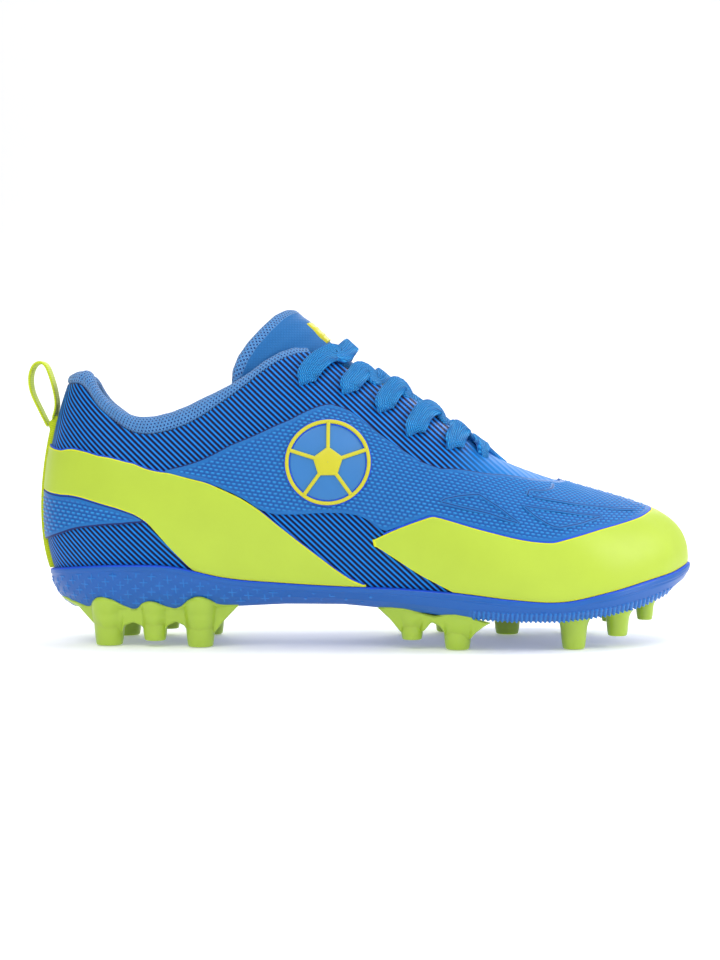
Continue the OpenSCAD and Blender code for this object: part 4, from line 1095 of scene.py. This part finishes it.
BOTF = [(120.1, 14.1), (124, 10.2), (127.5, 5.4), (131.8, 4.9), (135.4, 6.5), (138.1, 9.7), (141, 8.2), (143.5, 4), (147.5, 3.2), (151.2, 3.7), (153, 6), (156, 8.4), (158.2, 9.7)]


def skirt(ua, ub, top, bot, side, thick=3.4, inward=.10, studs=(), rise=1.0):
    nu_, nr = (260, 26)
    U = np.linspace(ua, ub, nu_)
    if side > 0:
        U = 2 - U
    t = np.linspace(0, 1, 50)
    W = wall_curve(U, t)
    n = unit(Nxy(U))
    g = G(U)
    xs = g[:, 0]
    zt, zb = smooth_lookup(top, xs, .8), smooth_lookup(bot, xs, .7)
    zb = np.minimum(zb, zt - .05)
    K = np.linspace(0, 1, nr)
    Z = zb[:, None] + (zt - zb)[:, None] * K[None]
    pos = np.zeros((nu_, nr, 3))
    for i in range(nu_):
        w_ = W[i]
        zz = w_[::-1, 2]
        for k in range(3):
            pos[i, :, k] = np.interp(Z[i], zz, w_[::-1, k])
        below = np.clip(w_[-1, 2] - Z[i], 0, None)
        pos[i, :, 0] -= n[i, 0] * below * inward
        pos[i, :, 1] -= n[i, 1] * below * inward
        pos[i, :, 2] = Z[i]
    for sx, sy, sr, sz in studs:
        f_ = np.clip((pos[..., 2] - sz) / 14, 0, 1.3)
        R = sr * (.962 + .36 * f_)
        ztop = float(smooth_lookup(top, np.array([sx]), 1.2)[0]) + .2
        dome = np.clip((pos[..., 2] - 11.5) / max(.5, ztop - 11.5), 0, 1)
        R = R * np.sqrt(np.clip(1 - .55 * dome ** 2.4, 0, 1))
        dx = pos[..., 0] - sx
        front = abs(sy) + np.sqrt(np.clip(R**2 - dx**2, 0, None)) + rise * dome
        cur = np.abs(pos[..., 1])
        k_ = ss((R - np.abs(dx)) / .8)
        sm = .5 * (cur + front + np.sqrt((cur - front) ** 2 + .5))
        low = 1 - ss(K[None] * (zt - zb)[:, None] / 5.5)
        pos[..., 1] = np.sign(side) * (cur * (1 - k_) + (sm - 1.55 * low) * k_)
    edge = np.minimum(K, 1 - K) * (zt - zb)[:, None]
    off = .62 * ss(edge / .7) + .12
    outp = pos + n[:, None] * off[..., None]
    inp = pos - n[:, None] * (thick * ss(edge / 1.2) + .2 * (1 - ss(edge / 1.2)))[..., None]
    loop = np.concatenate([outp, inp[:, ::-1]], 1)
    uv = np.stack([loop[..., 0], loop[..., 2]], -1) / 100
    F = grid_faces(nu_, 2 * nr, wrap_j=True)
    if side > 0:
        F = F[:, ::-1]
    return new_obj("k", loop, F, M_STUD, None, uv)


def web_block(x0, y0, x1, y1, w0, w1, t_, sag=1.2):
    """Bridge under the plate between two studs, arched along its lower face."""
    m, k = 40, 22
    f = np.linspace(0, 1, m)
    cx, cy = x0 + (x1 - x0) * f, y0 + (y1 - y0) * f
    L = math.hypot(x1 - x0, y1 - y0)
    nx, ny = -(y1 - y0) / L, (x1 - x0) / L
    w_ = (w0 + (w1 - w0) * f) - sag * np.sin(math.pi * f)
    a = np.linspace(-1, 1, k)
    prof_z = t_ * (1 - np.abs(a) ** 5) ** .6
    depth = 1 + .55 * (2 * f - 1) ** 4
    top = under(cx) + .4
    pos = np.zeros((m, k, 3))
    pos[..., 0] = cx[:, None] + nx * (w_ / 2)[:, None] * a[None]
    pos[..., 1] = cy[:, None] + ny * (w_ / 2)[:, None] * a[None]
    pos[..., 2] = top[:, None] - .35 - prof_z[None] * depth[:, None]
    pos[:, 0, 2] = pos[:, -1, 2] = top
    uv = np.stack([pos[..., 0], pos[..., 1]], -1) / 100
    return new_obj("w", pos, grid_faces(m, k), M_STUD, None, uv)


hs = [stud(25.5, -17, 4.7, 0, 6.2), stud(42, -21, 3.8, 2, 5), stud(58, -22.3, 4.5, 0, 5.6), stud(28, 16, 4.7, 0, 6.2), stud(43, 19.3, 3.8, 2, 5), stud(58.5, 19, 4.5, 0, 5.4),
      web_block(25.5, -16.5, 42, -19.5, 10, 9, 3.6), web_block(42, -19.5, 58, -20.5, 9, 9, 3.6), web_block(28, 15.5, 43, 18, 10, 9, 3.6), web_block(43, 18, 58.5, 17.8, 9, 9, 3.6), web_block(24.5, -14.5, 26.5, 14, 8, 8, 2.4)]
gx = G(np.linspace(0, 1, 400))[:, 0]
uat = lambda x: float(np.interp(x, gx, np.linspace(0, 1, 400)))
hs += [skirt(uat(11.6), uat(71.6), TOPH, BOTH, -1, studs=[(25.5, -17, 4.7, 0), (42, -21, 3.8, 2), (58, -22.3, 4.5, 0)], rise=2.2),
       skirt(uat(11.6), uat(71.6), TOPH, BOTH, 1, studs=[(28, 16, 4.7, 0), (43, 19.3, 3.8, 2), (58.5, 19, 4.5, 0)], rise=2.2)]
done(join_named("heel_stud_cluster", hs), ROOT, "stud_lime", "heel_studs")
fl = [stud(131.8, -28.6, 3.5, 3.1, 5), stud(147.5, -31, 4.2, 0, 5.8), web_block(131.8, -28, 147.5, -30.4, 8, 9, 2.8), skirt(uat(120.1), uat(158.2), TOPF, BOTF, -1, 3.0, .35, studs=[(131.8, -28.6, 3.5, 3.1), (147.5, -31, 4.2, 0)], rise=0)]
done(join_named("forefoot_pair_lateral", fl), ROOT, "stud_lime", "studs_rear_lateral")
fm = [stud(131, 23, 3.4, 3, 5), stud(146.5, 27.6, 4.1, 0, 5.6), web_block(131, 22.5, 146.5, 27, 8, 9, 2.8), skirt(uat(120.1), uat(158.2), TOPF, BOTF, 1, 3.0, .35, studs=[(131, 23, 3.4, 3), (146.5, 27.6, 4.1, 0)], rise=0)]
done(join_named("forefoot_pair_medial", fm), ROOT, "stud_lime", "studs_rear_medial")
for nm, a in (("stud_ball_medial", (168.3, 19.5, 4.2, 0, 6)), ("stud_front_lateral", (187.8, -29.4, 3.9, 0, 5.6)), ("stud_front_medial", (193, 26, 3.8, 0, 5.6)),
              ("stud_tip_lateral", (203.9, -22, 3.4, 3.7, 5.2)), ("stud_tip_medial", (206.6, 19, 3.3, 4.6, 5.2)), ("stud_toe", (215.3, -8.5, 2.7, 8, 4.2))):
    o = stud(*a)
    o.name = nm + "_moulded"
    done(o, ROOT, "stud_lime", nm)

# ------------------------------------------------------------------ tongue
TCt = np.array([[165,59.5,9,3,60],[157,64.6,12,6,66],[148,71,15,10,70],[139,78.3,17,14.5,74],[128,86,18,19,78],[118,93.6,18.5,23,82],
 [109.4,101.4,18.5,27,84],[101.5,108.6,18.8,30.5,86],[95.5,114.2,19.2,33.5,88],[89.7,118.7,19.3,35.5,88]], float)
TE = np.array([[0,0],[.1,.8],[.2,2],[.35,3.4],[.55,4.3],[.7,4.7],[.82,4.3],[.92,2.8],[1,0]])
_tc = np.concatenate([[2 * TCt[0] - TCt[1]], TCt, [2 * TCt[-1] - TCt[-2]]])


def tc(s):
    t = np.clip(np.asarray(s, float) * 9, 0, 8.9999)
    i = np.floor(t).astype(int)
    f = (t - i)[..., None]
    a, b, c, d = _tc[i], _tc[i + 1], _tc[i + 2], _tc[i + 3]
    return .5 * (2 * b + (c - a) * f + (2 * a - 5 * b + 4 * c - d) * f**2 + (3 * b - a - 3 * c + d) * f**3)


def tongue(s, a, d):
    s, a, d = np.broadcast_arrays(np.asarray(s, float), np.asarray(a, float), np.asarray(d, float))
    c = tc(s)
    c1, c0 = tc(np.minimum(1, s + .001)), tc(np.maximum(0, s - .001))
    L = unit(np.stack([c1[..., 0] - c0[..., 0], c1[..., 1] - c0[..., 1]], -1))
    ph = np.radians(c[..., 4] * a)
    w_, q = c[..., 2] - d, c[..., 3] - d
    ex = np.interp(np.abs(a), TE[:, 0], TE[:, 1]) * ss((s - .7) / .3)
    k = d + q * (1 - np.cos(ph))
    return np.stack([c[..., 0] - L[..., 1] * k + L[..., 0] * ex, .5 * (1 - s) + w_ * np.sin(ph), c[..., 1] + L[..., 0] * k + L[..., 1] * ex], -1)


def tnorm(s, a):
    e = .001
    s1, s0 = np.minimum(1, s + e), np.maximum(0, s - e)
    return unit(np.cross(tongue(s, a + e, 0) - tongue(s, a - e, 0), tongue(s1, a, 0) - tongue(s0, a, 0)))


def tl(s):
    c = tc(np.linspace(0, 1, 200))
    L = np.concatenate([[0], np.cumsum(np.linalg.norm(np.diff(c[:, :2], axis=0), axis=1))])
    return np.interp(s, np.linspace(0, 1, 200), L)


# skin: front face and rolled side edges
na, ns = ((121, 170))
s = np.linspace(.02, .952, ns)
a = np.linspace(-1, 1, na)
edge_d = np.array([3.6, 2.6, 1.5, .6])
aa = np.concatenate([np.full(4, -1.0), a, np.full(4, 1.0)])
dd = np.concatenate([edge_d, np.zeros(na), edge_d[::-1]])
Sg, Ag = np.meshgrid(s, aa, indexing="ij")
Dg = np.repeat(dd[None], ns, 0).copy()
wr = .16 * np.sin(Ag * 5 + Sg * 30) * np.sin(Sg * 61 + 1.3 * np.cos(Ag * 3))
puff = -.35 * ss((Sg - .80) / .08) * (1 - Ag**2) ** 0.5
Dg += (wr + puff) * (np.abs(Ag) < .97) * ss((Sg - .74) / .06)
pos = tongue(Sg, Ag, Dg)
uv = np.stack([Ag * .18, np.repeat(tl(s)[:, None], len(aa), 1) / 100], -1)
o = new_obj("tongue_face", pos, grid_faces(ns, len(aa)), M_TONGUE, None, uv)
done(o, "tongue", "tongue_blue", "tongue_skin")
# rim roll and lining
TRO = np.array([[.948, .35], [.950, -.15], [.963, -.45], [.980, -.45], [.993, .05], [1.0, 1.1], [1.0, 2.6], [.99, 3.8], [.965, 4.15], [.93, 4.15]])
f = np.linspace(0, len(TRO) - 1, 60)
ps = np.interp(f, range(len(TRO)), TRO[:, 0])
pd = np.interp(f, range(len(TRO)), TRO[:, 1])
k3 = np.array([1, 2, 3, 2, 1]) / 9
ps[2:-2] = np.convolve(ps, k3, "valid")
pd[2:-2] = np.convolve(pd, k3, "valid")
s2 = np.concatenate([ps, np.linspace(.925, .03, 60)])
d2 = np.concatenate([pd, np.full(60, 4.1)])
a2 = np.linspace(-1.0, 1.0, na)
Sg, Ag = np.meshgrid(s2, a2, indexing="ij")
Dg = np.repeat(d2[:, None], na, 1)
pos = tongue(Sg, Ag, Dg)
Lr = np.concatenate([[0], np.cumsum(np.linalg.norm(np.diff(pos[:, na // 2], axis=0), axis=1))])
wid = np.repeat((a2 * 27)[None], len(s2), 0)
uv = np.stack([wid / 66, np.repeat(Lr[:, None], na, 1) / 66], -1)
o = new_obj("tongue_rim_and_lining", pos, grid_faces(len(s2), na), M_MESH, None, uv)
done(o, "tongue", "lining_grey", "tongue_lining")
# mark on the tongue
s = np.linspace(.755, .875, 40)
a = np.linspace(-.2, .2, 30)
Sg, Ag = np.meshgrid(s, a, indexing="ij")
e = np.minimum(np.minimum(Sg - .755, .875 - Sg) / .12 * 9, np.minimum(Ag + .2, .2 - Ag) / .4 * 12)
lines_ = ss((np.sin(Sg * 160) - .2) * 3)
Dg = .1 - .85 * ss(e / .25) - .15 * lines_ * ss((e - .8) / .4)
o = new_obj("tongue_patch", tongue(Sg, Ag, Dg), grid_faces(40, 30), M_YEL, None, np.stack([Ag, Sg], -1))
done(o, "tongue", "badge_yellow", "tongue_mark")

# ------------------------------------------------------------------ laces
EYE = [[.496,.862],[.559,.826],[.609,.806],[.639,.728],[.703,.750],[.778,.800]]
UX = [.558,.608,.665,.728,.788]
UY = [0,.592,.645,.706,.766,.818]
SCt = [.687,.537,.412,.293,.165,.053]
LW, LH, LU = 7.4, 3.7, 1.3
fl_ = lambda *a: [float(x) for x in a]
pt = lambda u, v, d: P(np.array(float(u)), np.array(float(v)), np.array(float(d)))
nn_ = lambda u, v: SN(np.array(float(u)), np.array(float(v)))
mm_ = lambda u, v: SM(np.array(float(u)), np.array(float(v)))
tg = lambda s, a: tongue(np.array(float(s)), np.array(float(a)), np.array(0.0))
tn = lambda s, a: tnorm(np.array(float(s)), np.array(float(a)))
sd = lambda u, o: u if o < 0 else 2 - u
mixf = lambda a, b, t: a + (b - a) * t


def strand(k, o1):
    o = -o1
    (us, vs), (ue, ve) = EYE[k + 1], EYE[k]
    uy, ux, top = UY[k + 1], UX[k], o1 < 0
    tp = lambda s, a, h: tg(s, a) + tn(s, a) * h
    return [
        (pt(sd(us, o), vs, -.5), mm_(sd(us, o), vs), LH, 1.9),
        (pt(sd(us, o), vs + .012, -3.0), unit(mm_(sd(us, o), vs) + nn_(sd(us, o), vs)), LH, LU),
        (pt(sd(mixf(us, uy, .5), o), mixf(vs, .985, .5), -3.2), nn_(sd(us, o), .9), 4.2, LU),
        (pt(sd(uy, o), .985, -2.95), nn_(sd(uy, o), .985), 4.2, LU),
        (tp(SCt[k] - .012, .34 * o, 1.7), tn(SCt[k], .34 * o), 4.8, 1.7),
        (tp(SCt[k], 0, 4.1 if top else 2.0), tn(SCt[k], 0), 6.2, 2.1),
        (tp(SCt[k], .36 * o1, 4.4 if top else 4.2), tn(SCt[k], .3 * o1), LW, 2.1),
        (pt(sd(ux, o1), 1, 1.1) + np.array([0, -o1 * .5, 1.5]), unit(nn_(sd(ux, o1), .97) * .6 + tn(SCt[k], .36 * o1)), LW, 2.1),
        (pt(sd(mixf(ux, ue, .5), o1), mixf(.985, ve, .42), 1.8), nn_(sd(mixf(ux, ue, .5), o1), .92), LW, 2.1),
        (pt(sd(mixf(ux, ue, .93), o1), ve + .012, 1.55), unit(nn_(sd(ue, o1), ve) - mm_(sd(ue, o1), ve) * .15), 7.6, 2.1),
        (pt(sd(mixf(ux, ue, 1.03), o1), ve - .020, .75), unit(nn_(sd(ue, o1), ve) - mm_(sd(ue, o1), ve) * 1.0), 6.8, 1.9),
        (pt(sd(ue, o1), ve - .012, -.7), -mm_(sd(ue, o1), ve), 5.2, 1.6)]


def bar(o):
    ue, ve = EYE[5]
    return [
        (pt(sd(ue, o), ve, -.6), -mm_(sd(ue, o), ve), LH, 1.9),
        (pt(sd(ue, o), ve + .03, 1.3), unit(nn_(sd(ue, o), ve) - mm_(sd(ue, o), ve) * .8), 5, 2.1),
        (pt(sd(ue + .022, o), mixf(ve, .985, .55), 1.7), nn_(sd(ue, o), .92), 6.2, 2.1),
        (pt(sd(ue + .05, o), .985, 1.7), nn_(sd(ue, o), .97), LW, 2.1)]


def barall():
    a, b = bar(1), bar(-1)
    return a + [(tg(SCt[5], 0) + tn(SCt[5], 0) * 3.9, tn(SCt[5], 0), LW, 2.1)] + b[::-1]


def crs(Pts, per_seg):
    Pts = np.array(Pts, float)
    n = len(Pts)
    E = np.concatenate([[2 * Pts[0] - Pts[1]], Pts, [2 * Pts[-1] - Pts[-2]]])
    t = np.linspace(0, n - 1, (n - 1) * per_seg + 1)
    i = np.minimum(np.floor(t).astype(int), n - 2)
    f = (t - i)[:, None]
    a, b, c, d = E[i], E[i + 1], E[i + 2], E[i + 3]
    return .5 * (2 * b + (c - a) * f + (2 * a - 5 * b + 4 * c - d) * f**2 + (3 * b - a - 3 * c + d) * f**3), t


def lace_mesh(name, C, mat, step=.28, ribs=.22, around=30, x0=0.0):
    pts, t = crs([c[0] for c in C], 60)
    nm, _ = crs([c[1] for c in C], 60)
    wd = np.interp(t, range(len(C)), [c[2] for c in C])
    th = np.interp(t, range(len(C)), [c[3] for c in C])
    L = np.concatenate([[0], np.cumsum(np.linalg.norm(np.diff(pts, axis=0), axis=1))])
    nL = max(8, int(L[-1] / step))
    q = np.linspace(0, L[-1], nL)
    g_ = lambda A: np.stack([np.interp(q, L, A[:, k]) for k in range(3)], 1)
    pts, nm = g_(pts), g_(nm)
    wd, th = np.interp(q, L, wd), np.interp(q, L, th)
    kk = np.ones(9) / 9
    wd = np.convolve(np.pad(wd, 4, "edge"), kk, "valid")
    d = unit(np.gradient(pts, axis=0))
    nm = unit(nm - d * np.sum(nm * d, 1, keepdims=True))
    w_ = np.cross(d, nm)
    ph = np.linspace(0, 2 * math.pi, around, endpoint=False)
    # flat tube: nearly rectangular, with a thicker rolled edge on each side
    cs, sn = np.cos(ph), np.sin(ph)
    a = np.sign(cs) * np.abs(cs) ** .62
    b = np.sign(sn) * np.abs(sn) ** .72
    border = 1 + .16 * ss((np.abs(a) - .62) / .12) * (1 - ss((np.abs(a) - .93) / .05))
    b = b * border * (1 - .06 * (1 - a**2))
    W = wd[:, None] / 2 * a[None]
    B = th[:, None] / 2 * b[None]
    rib = np.sin((q[:, None] + x0 + np.abs(W) * .75) / .85 * 2 * math.pi)
    B = B + np.sign(b)[None] * ribs * .5 * rib * np.clip(np.abs(b[None]) * 2, 0, 1)
    W = W + np.sign(a)[None] * .05 * rib * (np.abs(a[None]) > .8)
    pos = pts[:, None] + w_[:, None] * W[..., None] + nm[:, None] * B[..., None]
    uv = np.stack([np.repeat(q[:, None] + x0, around, 1), W], -1)
    F = [f for f in grid_faces(nL, around, wrap_j=True)[:, ::-1]]
    F = np.array(F)
    V = pos.reshape(-1, 3)
    c0, c1 = pos[0].mean(0), pos[-1].mean(0)
    V = np.concatenate([V, [c0, c1]])
    uvv = np.concatenate([uv.reshape(-1, 2), [[x0, 0], [x0 + q[-1], 0]]])
    j = np.arange(around)
    cap0 = np.stack([np.full(around, len(V) - 2), j, (j + 1) % around, (j + 1) % around], 1)[:, :3]
    b0 = (nL - 1) * around
    cap1 = np.stack([np.full(around, len(V) - 1), b0 + (j + 1) % around, b0 + j], 1)
    faces = [list(map(int, f)) for f in F] + [list(map(int, f)) for f in cap0] + [list(map(int, f)) for f in cap1]
    return new_obj(name, V, faces, mat, None, uvv), pts


parts = []
i = 0
for k in range(5):
    for o1 in (-1, 1):
        parts.append(lace_mesh("l", strand(k, o1), M_LACE, x0=i * 3.3)[0])
        i += 1
parts.append(lace_mesh("l", barall(), M_LACE)[0])
done(join_named("lace_crossings", parts), ROOT, "lace_blue", "lace")


def tailpts(o):
    return [(pt(sd(u, o), v, d), (-mm_(sd(u, o), v)) if d > -2 else nn_(sd(u, o), v), w_, 1.9 if w_ < 4 else 2.1)
            for u, v, d, w_ in [(.496,.854,-1.5,3.4),(.500,.838,-3.1,4.2),(.517,.795,-4.6,5.4),(.553,.70,-5.0,6.6),(.60,.625,-5.0,6.6),(.66,.585,-5.0,6.6),(.72,.57,-5.0,6.6),(.775,.565,-5.1,5.6),(.80,.56,-5.2,3)]]


for o_, nm in ((-1, "lateral"), (1, "medial")):
    ag = lace_mesh("aglet_sleeve_" + nm, [(pt(sd(u, o_), v, d), nn_(sd(u, o_), v), 2.9, 2.5) for u, v, d in [(.802,.56,-5.2),(.835,.555,-5.4),(.87,.55,-5.6)]], M_AGLET, ribs=0.0, around=20)[0]
    done(ag, ROOT, "aglet_clear", "aglet_" + nm)
    TP = tailpts(o_)
    ob, _ = lace_mesh("lace_end_" + nm, TP, M_LACE)
    done(ob, ROOT, "lace_blue", "lace_tail_" + nm)
    pp, _ = crs([c[0] for c in TP], 4)
    pm = M2(pp)

# ------------------------------------------------------------------ collar roll and lining
RV = np.array([[-3.6,-1.45],[-1.2,-1.42],[-.15,-1.32],[.25,-.62],[1.0,.18],[2.1,.45],[3.2,.15],[4.2,-.8],[4.95,-2.1],[5.05,-3.5],[4.5,-4.9],[3.0,-6.0],[.6,-6.5],[-2.5,-6.6],[-6,-6.5],[-10,-6.4]])
f_, _ = crs(RV, 8)
tapv = lambda u: 1 - .66 * ss((np.abs(u) - .36) / .13) - .14 * ss((np.abs(u) - .49) / .03)
nu_c = 620
U = np.linspace(-.522, .522, nu_c)
mrow = len(f_)
UU = np.repeat(U[:, None], mrow, 1)
m_ = np.repeat(f_[None, :, 0], nu_c, 0)
n_ = np.repeat(f_[None, :, 1], nu_c, 0)
T_ = tapv(UU)
high = np.where(UU > 0, 1 + (.12 * ss((UU - .02) / .06) + .36 * ss((UU - .09) / .10)) * (1 - ss((UU - .34) / .09)), 1 - .18 * ss((-UU - .03) / .12) * (1 - ss((-UU - .34) / .09)))
m_ = np.where(m_ > 0, m_ * high * (1 + (T_ - 1) * .30), np.where(m_ < -3.7, m_ * (1 + (.38 - 1) * ss((np.abs(UU) - .38) / .09)), m_))
n_ = -1.5 + (n_ + 1.5) * T_
quilt = .14 * np.sin(UU * 190 + 2 * np.sin(UU * 40)) * ss((f_[None, :, 1] * 0 + np.arange(mrow)[None] - 20) / 20) * (1 - ss((np.arange(mrow)[None] - 75) / 20))
LB = np.linalg.norm(dbez(per(ROWS, U), np.full(nu_c, .9)), axis=-1)[:, None]
below = m_ <= 0
Vb = np.maximum(.03, 1 + m_ / LB)
pb = P(UU, Vb, n_)
Mdir, Ndir = SM(U, np.full(nu_c, .98))[:, None], SN(U, np.full(nu_c, .98))[:, None]
pa = S(U, np.ones(nu_c))[:, None] + Mdir * m_[..., None] + Ndir * n_[..., None]
# blend the two ways of leaving the edge so there is no crease
wgt = ss((m_ + .8) / 1.6)[..., None]
Mlow = S(U, np.ones(nu_c))[:, None] + Mdir * m_[..., None] + Ndir * n_[..., None]
roll = pb * (1 - wgt) + pa * wgt
roll = roll + Ndir * quilt[..., None]
ninn = 40
jj = np.linspace(0, 1, ninn + 1)[1:]
v0 = 1 - 10 * (1 + (.38 - 1) * ss((np.abs(U) - .38) / .09)) / LB[:, 0]
v1 = np.minimum(.06 + .86 * ss((np.abs(U) - .37) / .095), v0 - .004)
Vi = v0[:, None] + (v1 - v0)[:, None] * jj[None]
qi = -4.6 - 1.8 * ss((Vi - .2) / .6)
Ui = np.repeat(U[:, None], ninn, 1)
inn = P(Ui, np.maximum(.055, Vi), -1.5 + (qi + 1.5) * tapv(Ui))
full = np.concatenate([roll, inn], 1)
Lc = np.concatenate([np.zeros((nu_c, 1)), np.cumsum(np.linalg.norm(np.diff(full, axis=1), axis=2), 1)], 1)
along = np.concatenate([[0], np.cumsum(np.linalg.norm(np.diff(full[:, 20], axis=0), axis=1))])
uv = np.stack([np.repeat(along[:, None], full.shape[1], 1) / 100, Lc / 100], -1)
F = grid_faces(nu_c, full.shape[1])
mi = np.zeros((nu_c - 1, full.shape[1] - 1), int)
mi[:, mrow + 2:] = 1
o = new_obj("collar_padded_roll", full, F, [M_MESH, M_LIN], mi.ravel(), uv)
done(o, ROOT, "mesh_blue", "collar_lining")

# ------------------------------------------------------------------ vamp lining
VH = [[.48,.40],[.56,.56],[.62,.60],[.75,.62],[.84,.76],[.9,.90],[1,.93]]
o = panel("vamp_lining_cloth", .50, 1.50, lambda u: np.full_like(u, .055), lambda u: smooth_lookup(VH, fold(u)), 260, 40, -2.8, -2.25, [M_GREY, M_GREY], bevel=.1)
done(o, ROOT, "lining_grey", "vamp_lining")

# ------------------------------------------------------------------ pull loop
LP = [[1.9,77.0],[-.9,82.6],[-3.8,89],[-4.5,94.2],[-3.3,98.3],[-1,99.8],[1.2,98.6],[2.9,94.6],[4.3,89.4],[4.9,84.5],[3.9,79.8]]
C = []
for i, q in enumerate(LP):
    a_, b_ = np.array(LP[max(0, i - 1)]), np.array(LP[min(len(LP) - 1, i + 1)])
    d_ = (b_ - a_) / np.linalg.norm(b_ - a_)
    C.append((np.array([q[0], 0, q[1]]), np.array([-d_[1], 0, d_[0]]), 9.6, 1.05))
o, _ = lace_mesh("pull_loop_tape", C, M_WEB, step=.4, ribs=.05, around=30)
done(o, "pull_tab", "webbing_lime", "pull_loop")

# ------------------------------------------------------------------ sockliner
def sock(name, z0, z1, mat, slot_, node, seat):
    U = np.linspace(.02, .978, 160)
    A_, B_ = edge_pt(U, 5.3), edge_pt(2 - U, 5.3)
    mid = (A_ + B_) / 2
    t_ = np.linspace(-1, 1, 41)
    ptt = np.where(t_[None, :, None] < 0, mid[:, None] + (A_ - mid)[:, None] * (-t_)[None, :, None], mid[:, None] + (B_ - mid)[:, None] * t_[None, :, None])
    e_ = np.minimum(1 - np.abs(t_)[None], np.minimum((U - .02)[:, None] * 12, (.978 - U)[:, None] * 12))
    rr_ = ss(e_ / .06)
    cup = 1.2 * np.abs(t_)[None] ** 6
    wav = .05 * np.sin(ptt[..., 0] * .9) * np.sin(ptt[..., 1] * .8)
    top = ptt.copy()
    top[..., 2] = fz(ptt[..., 0]) + z0 + (z1 - z0) * (.35 + .65 * rr_) + cup + wav
    bt = ptt.copy()
    bt[..., 2] = fz(ptt[..., 0]) + z0 + cup
    V = np.concatenate([top.reshape(-1, 3), bt.reshape(-1, 3)])
    n_, m_ = 160, 41
    F1 = grid_faces(n_, m_)[:, ::-1]
    F2 = grid_faces(n_, m_, base=n_ * m_)
    per_ = [i_ * m_ for i_ in range(n_)] + [(n_ - 1) * m_ + j_ for j_ in range(1, m_)] + [i_ * m_ + m_ - 1 for i_ in range(n_ - 2, -1, -1)] + [j_ for j_ in range(m_ - 2, 0, -1)]
    per_ = np.array(per_)
    nx_ = np.roll(per_, -1)
    F3 = np.stack([per_, nx_, nx_ + n_ * m_, per_ + n_ * m_], 1)
    F = np.concatenate([F1, F2, F3])
    uv = V[:, :2] / 100
    o = new_obj(name, V, F, mat, None, uv)
    bpy.context.view_layer.objects.active = o
    done(o, "sockliner", slot_, node)


sock("sockliner_pad", 1.25, 4.25, M_FOAMD, "foam_dark", "sockliner_foam", 0)
sock("sockliner_top_cloth", 4.35, 5.05, M_COVER, "cover_blue", "sockliner_cover", 0)

# ------------------------------------------------------------------ CAD nodes kept as they are, with their own materials
keep = {"heel_wedge": (M_EVA, "eva_white"), "insole_board": (M_BOARD, "board_fibre"), "heel_counter": (M_COUNTER, "counter_board"), "toe_puff": (M_COUNTER, "counter_board"),
        "collar_foam": (M_FOAMC, "foam_cream"), "tongue_foam": (M_FOAMC, "foam_cream"), "eyestay_backing_lateral": (M_BACK, "backing_dark"), "eyestay_backing_medial": (M_BACK, "backing_dark")}
for o in list(bpy.data.objects):
    nd = o.get("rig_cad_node")
    if nd in keep and o.type == "MESH":
        o.data.materials.clear()
        o.data.materials.append(keep[nd][0])

# ------------------------------------------------------------------ floor
t = NT("studio_floor")
nz = t.noise(3.0, 3.0, 0.5, t.obj())
fine = t.noise(420, 2.0, 0.5, t.obj())
c = t.mix(t.math("MULTIPLY", nz, .06), (.90, .90, .905), (.86, .865, .88))
M_FLOOR = t.done(c, t.math("MULTIPLY_ADD", fine, .08, .62), t.bump(fine, .04, .0001), spec=.25)
for n_ in M_FLOOR.node_tree.nodes:
    if n_.type == "BSDF_PRINCIPLED":
        n_.inputs["Emission Color"].default_value = (1, 1, 1, 1)
        n_.inputs["Emission Strength"].default_value = 0.24
yy = [-3, -1, 0, .9] + [.9 + .9 * math.sin(a_) for a_ in np.linspace(.1, math.pi / 2, 14)] + [1.8, 1.8]
zz = [0, 0, 0, 0] + [.9 - .9 * math.cos(a_) for a_ in np.linspace(.1, math.pi / 2, 14)] + [2.2, 4.5]
xx = np.linspace(-4, 4, 9)
fv = np.array([[(x_ * 1000 + MX, y_ * 1000 + MY, z_ * 1000 - .2) for y_, z_ in zip(yy, zz)] for x_ in xx])
fl = new_obj("floor", fv, grid_faces(len(xx), len(yy)), M_FLOOR)
fl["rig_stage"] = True

# ------------------------------------------------------------------ sizes and finish
dg = bpy.context.evaluated_depsgraph_get()
lo_, hi_ = [1e9] * 3, [-1e9] * 3
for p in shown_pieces():
    e = p.evaluated_get(dg)
    for c in e.bound_box:
        q = e.matrix_world @ Vector(c)
        for k in range(3):
            lo_[k], hi_[k] = min(lo_[k], q[k]), max(hi_[k], q[k])
scene.view_settings.view_transform = "Standard"
scene.view_settings.exposure = 0.0
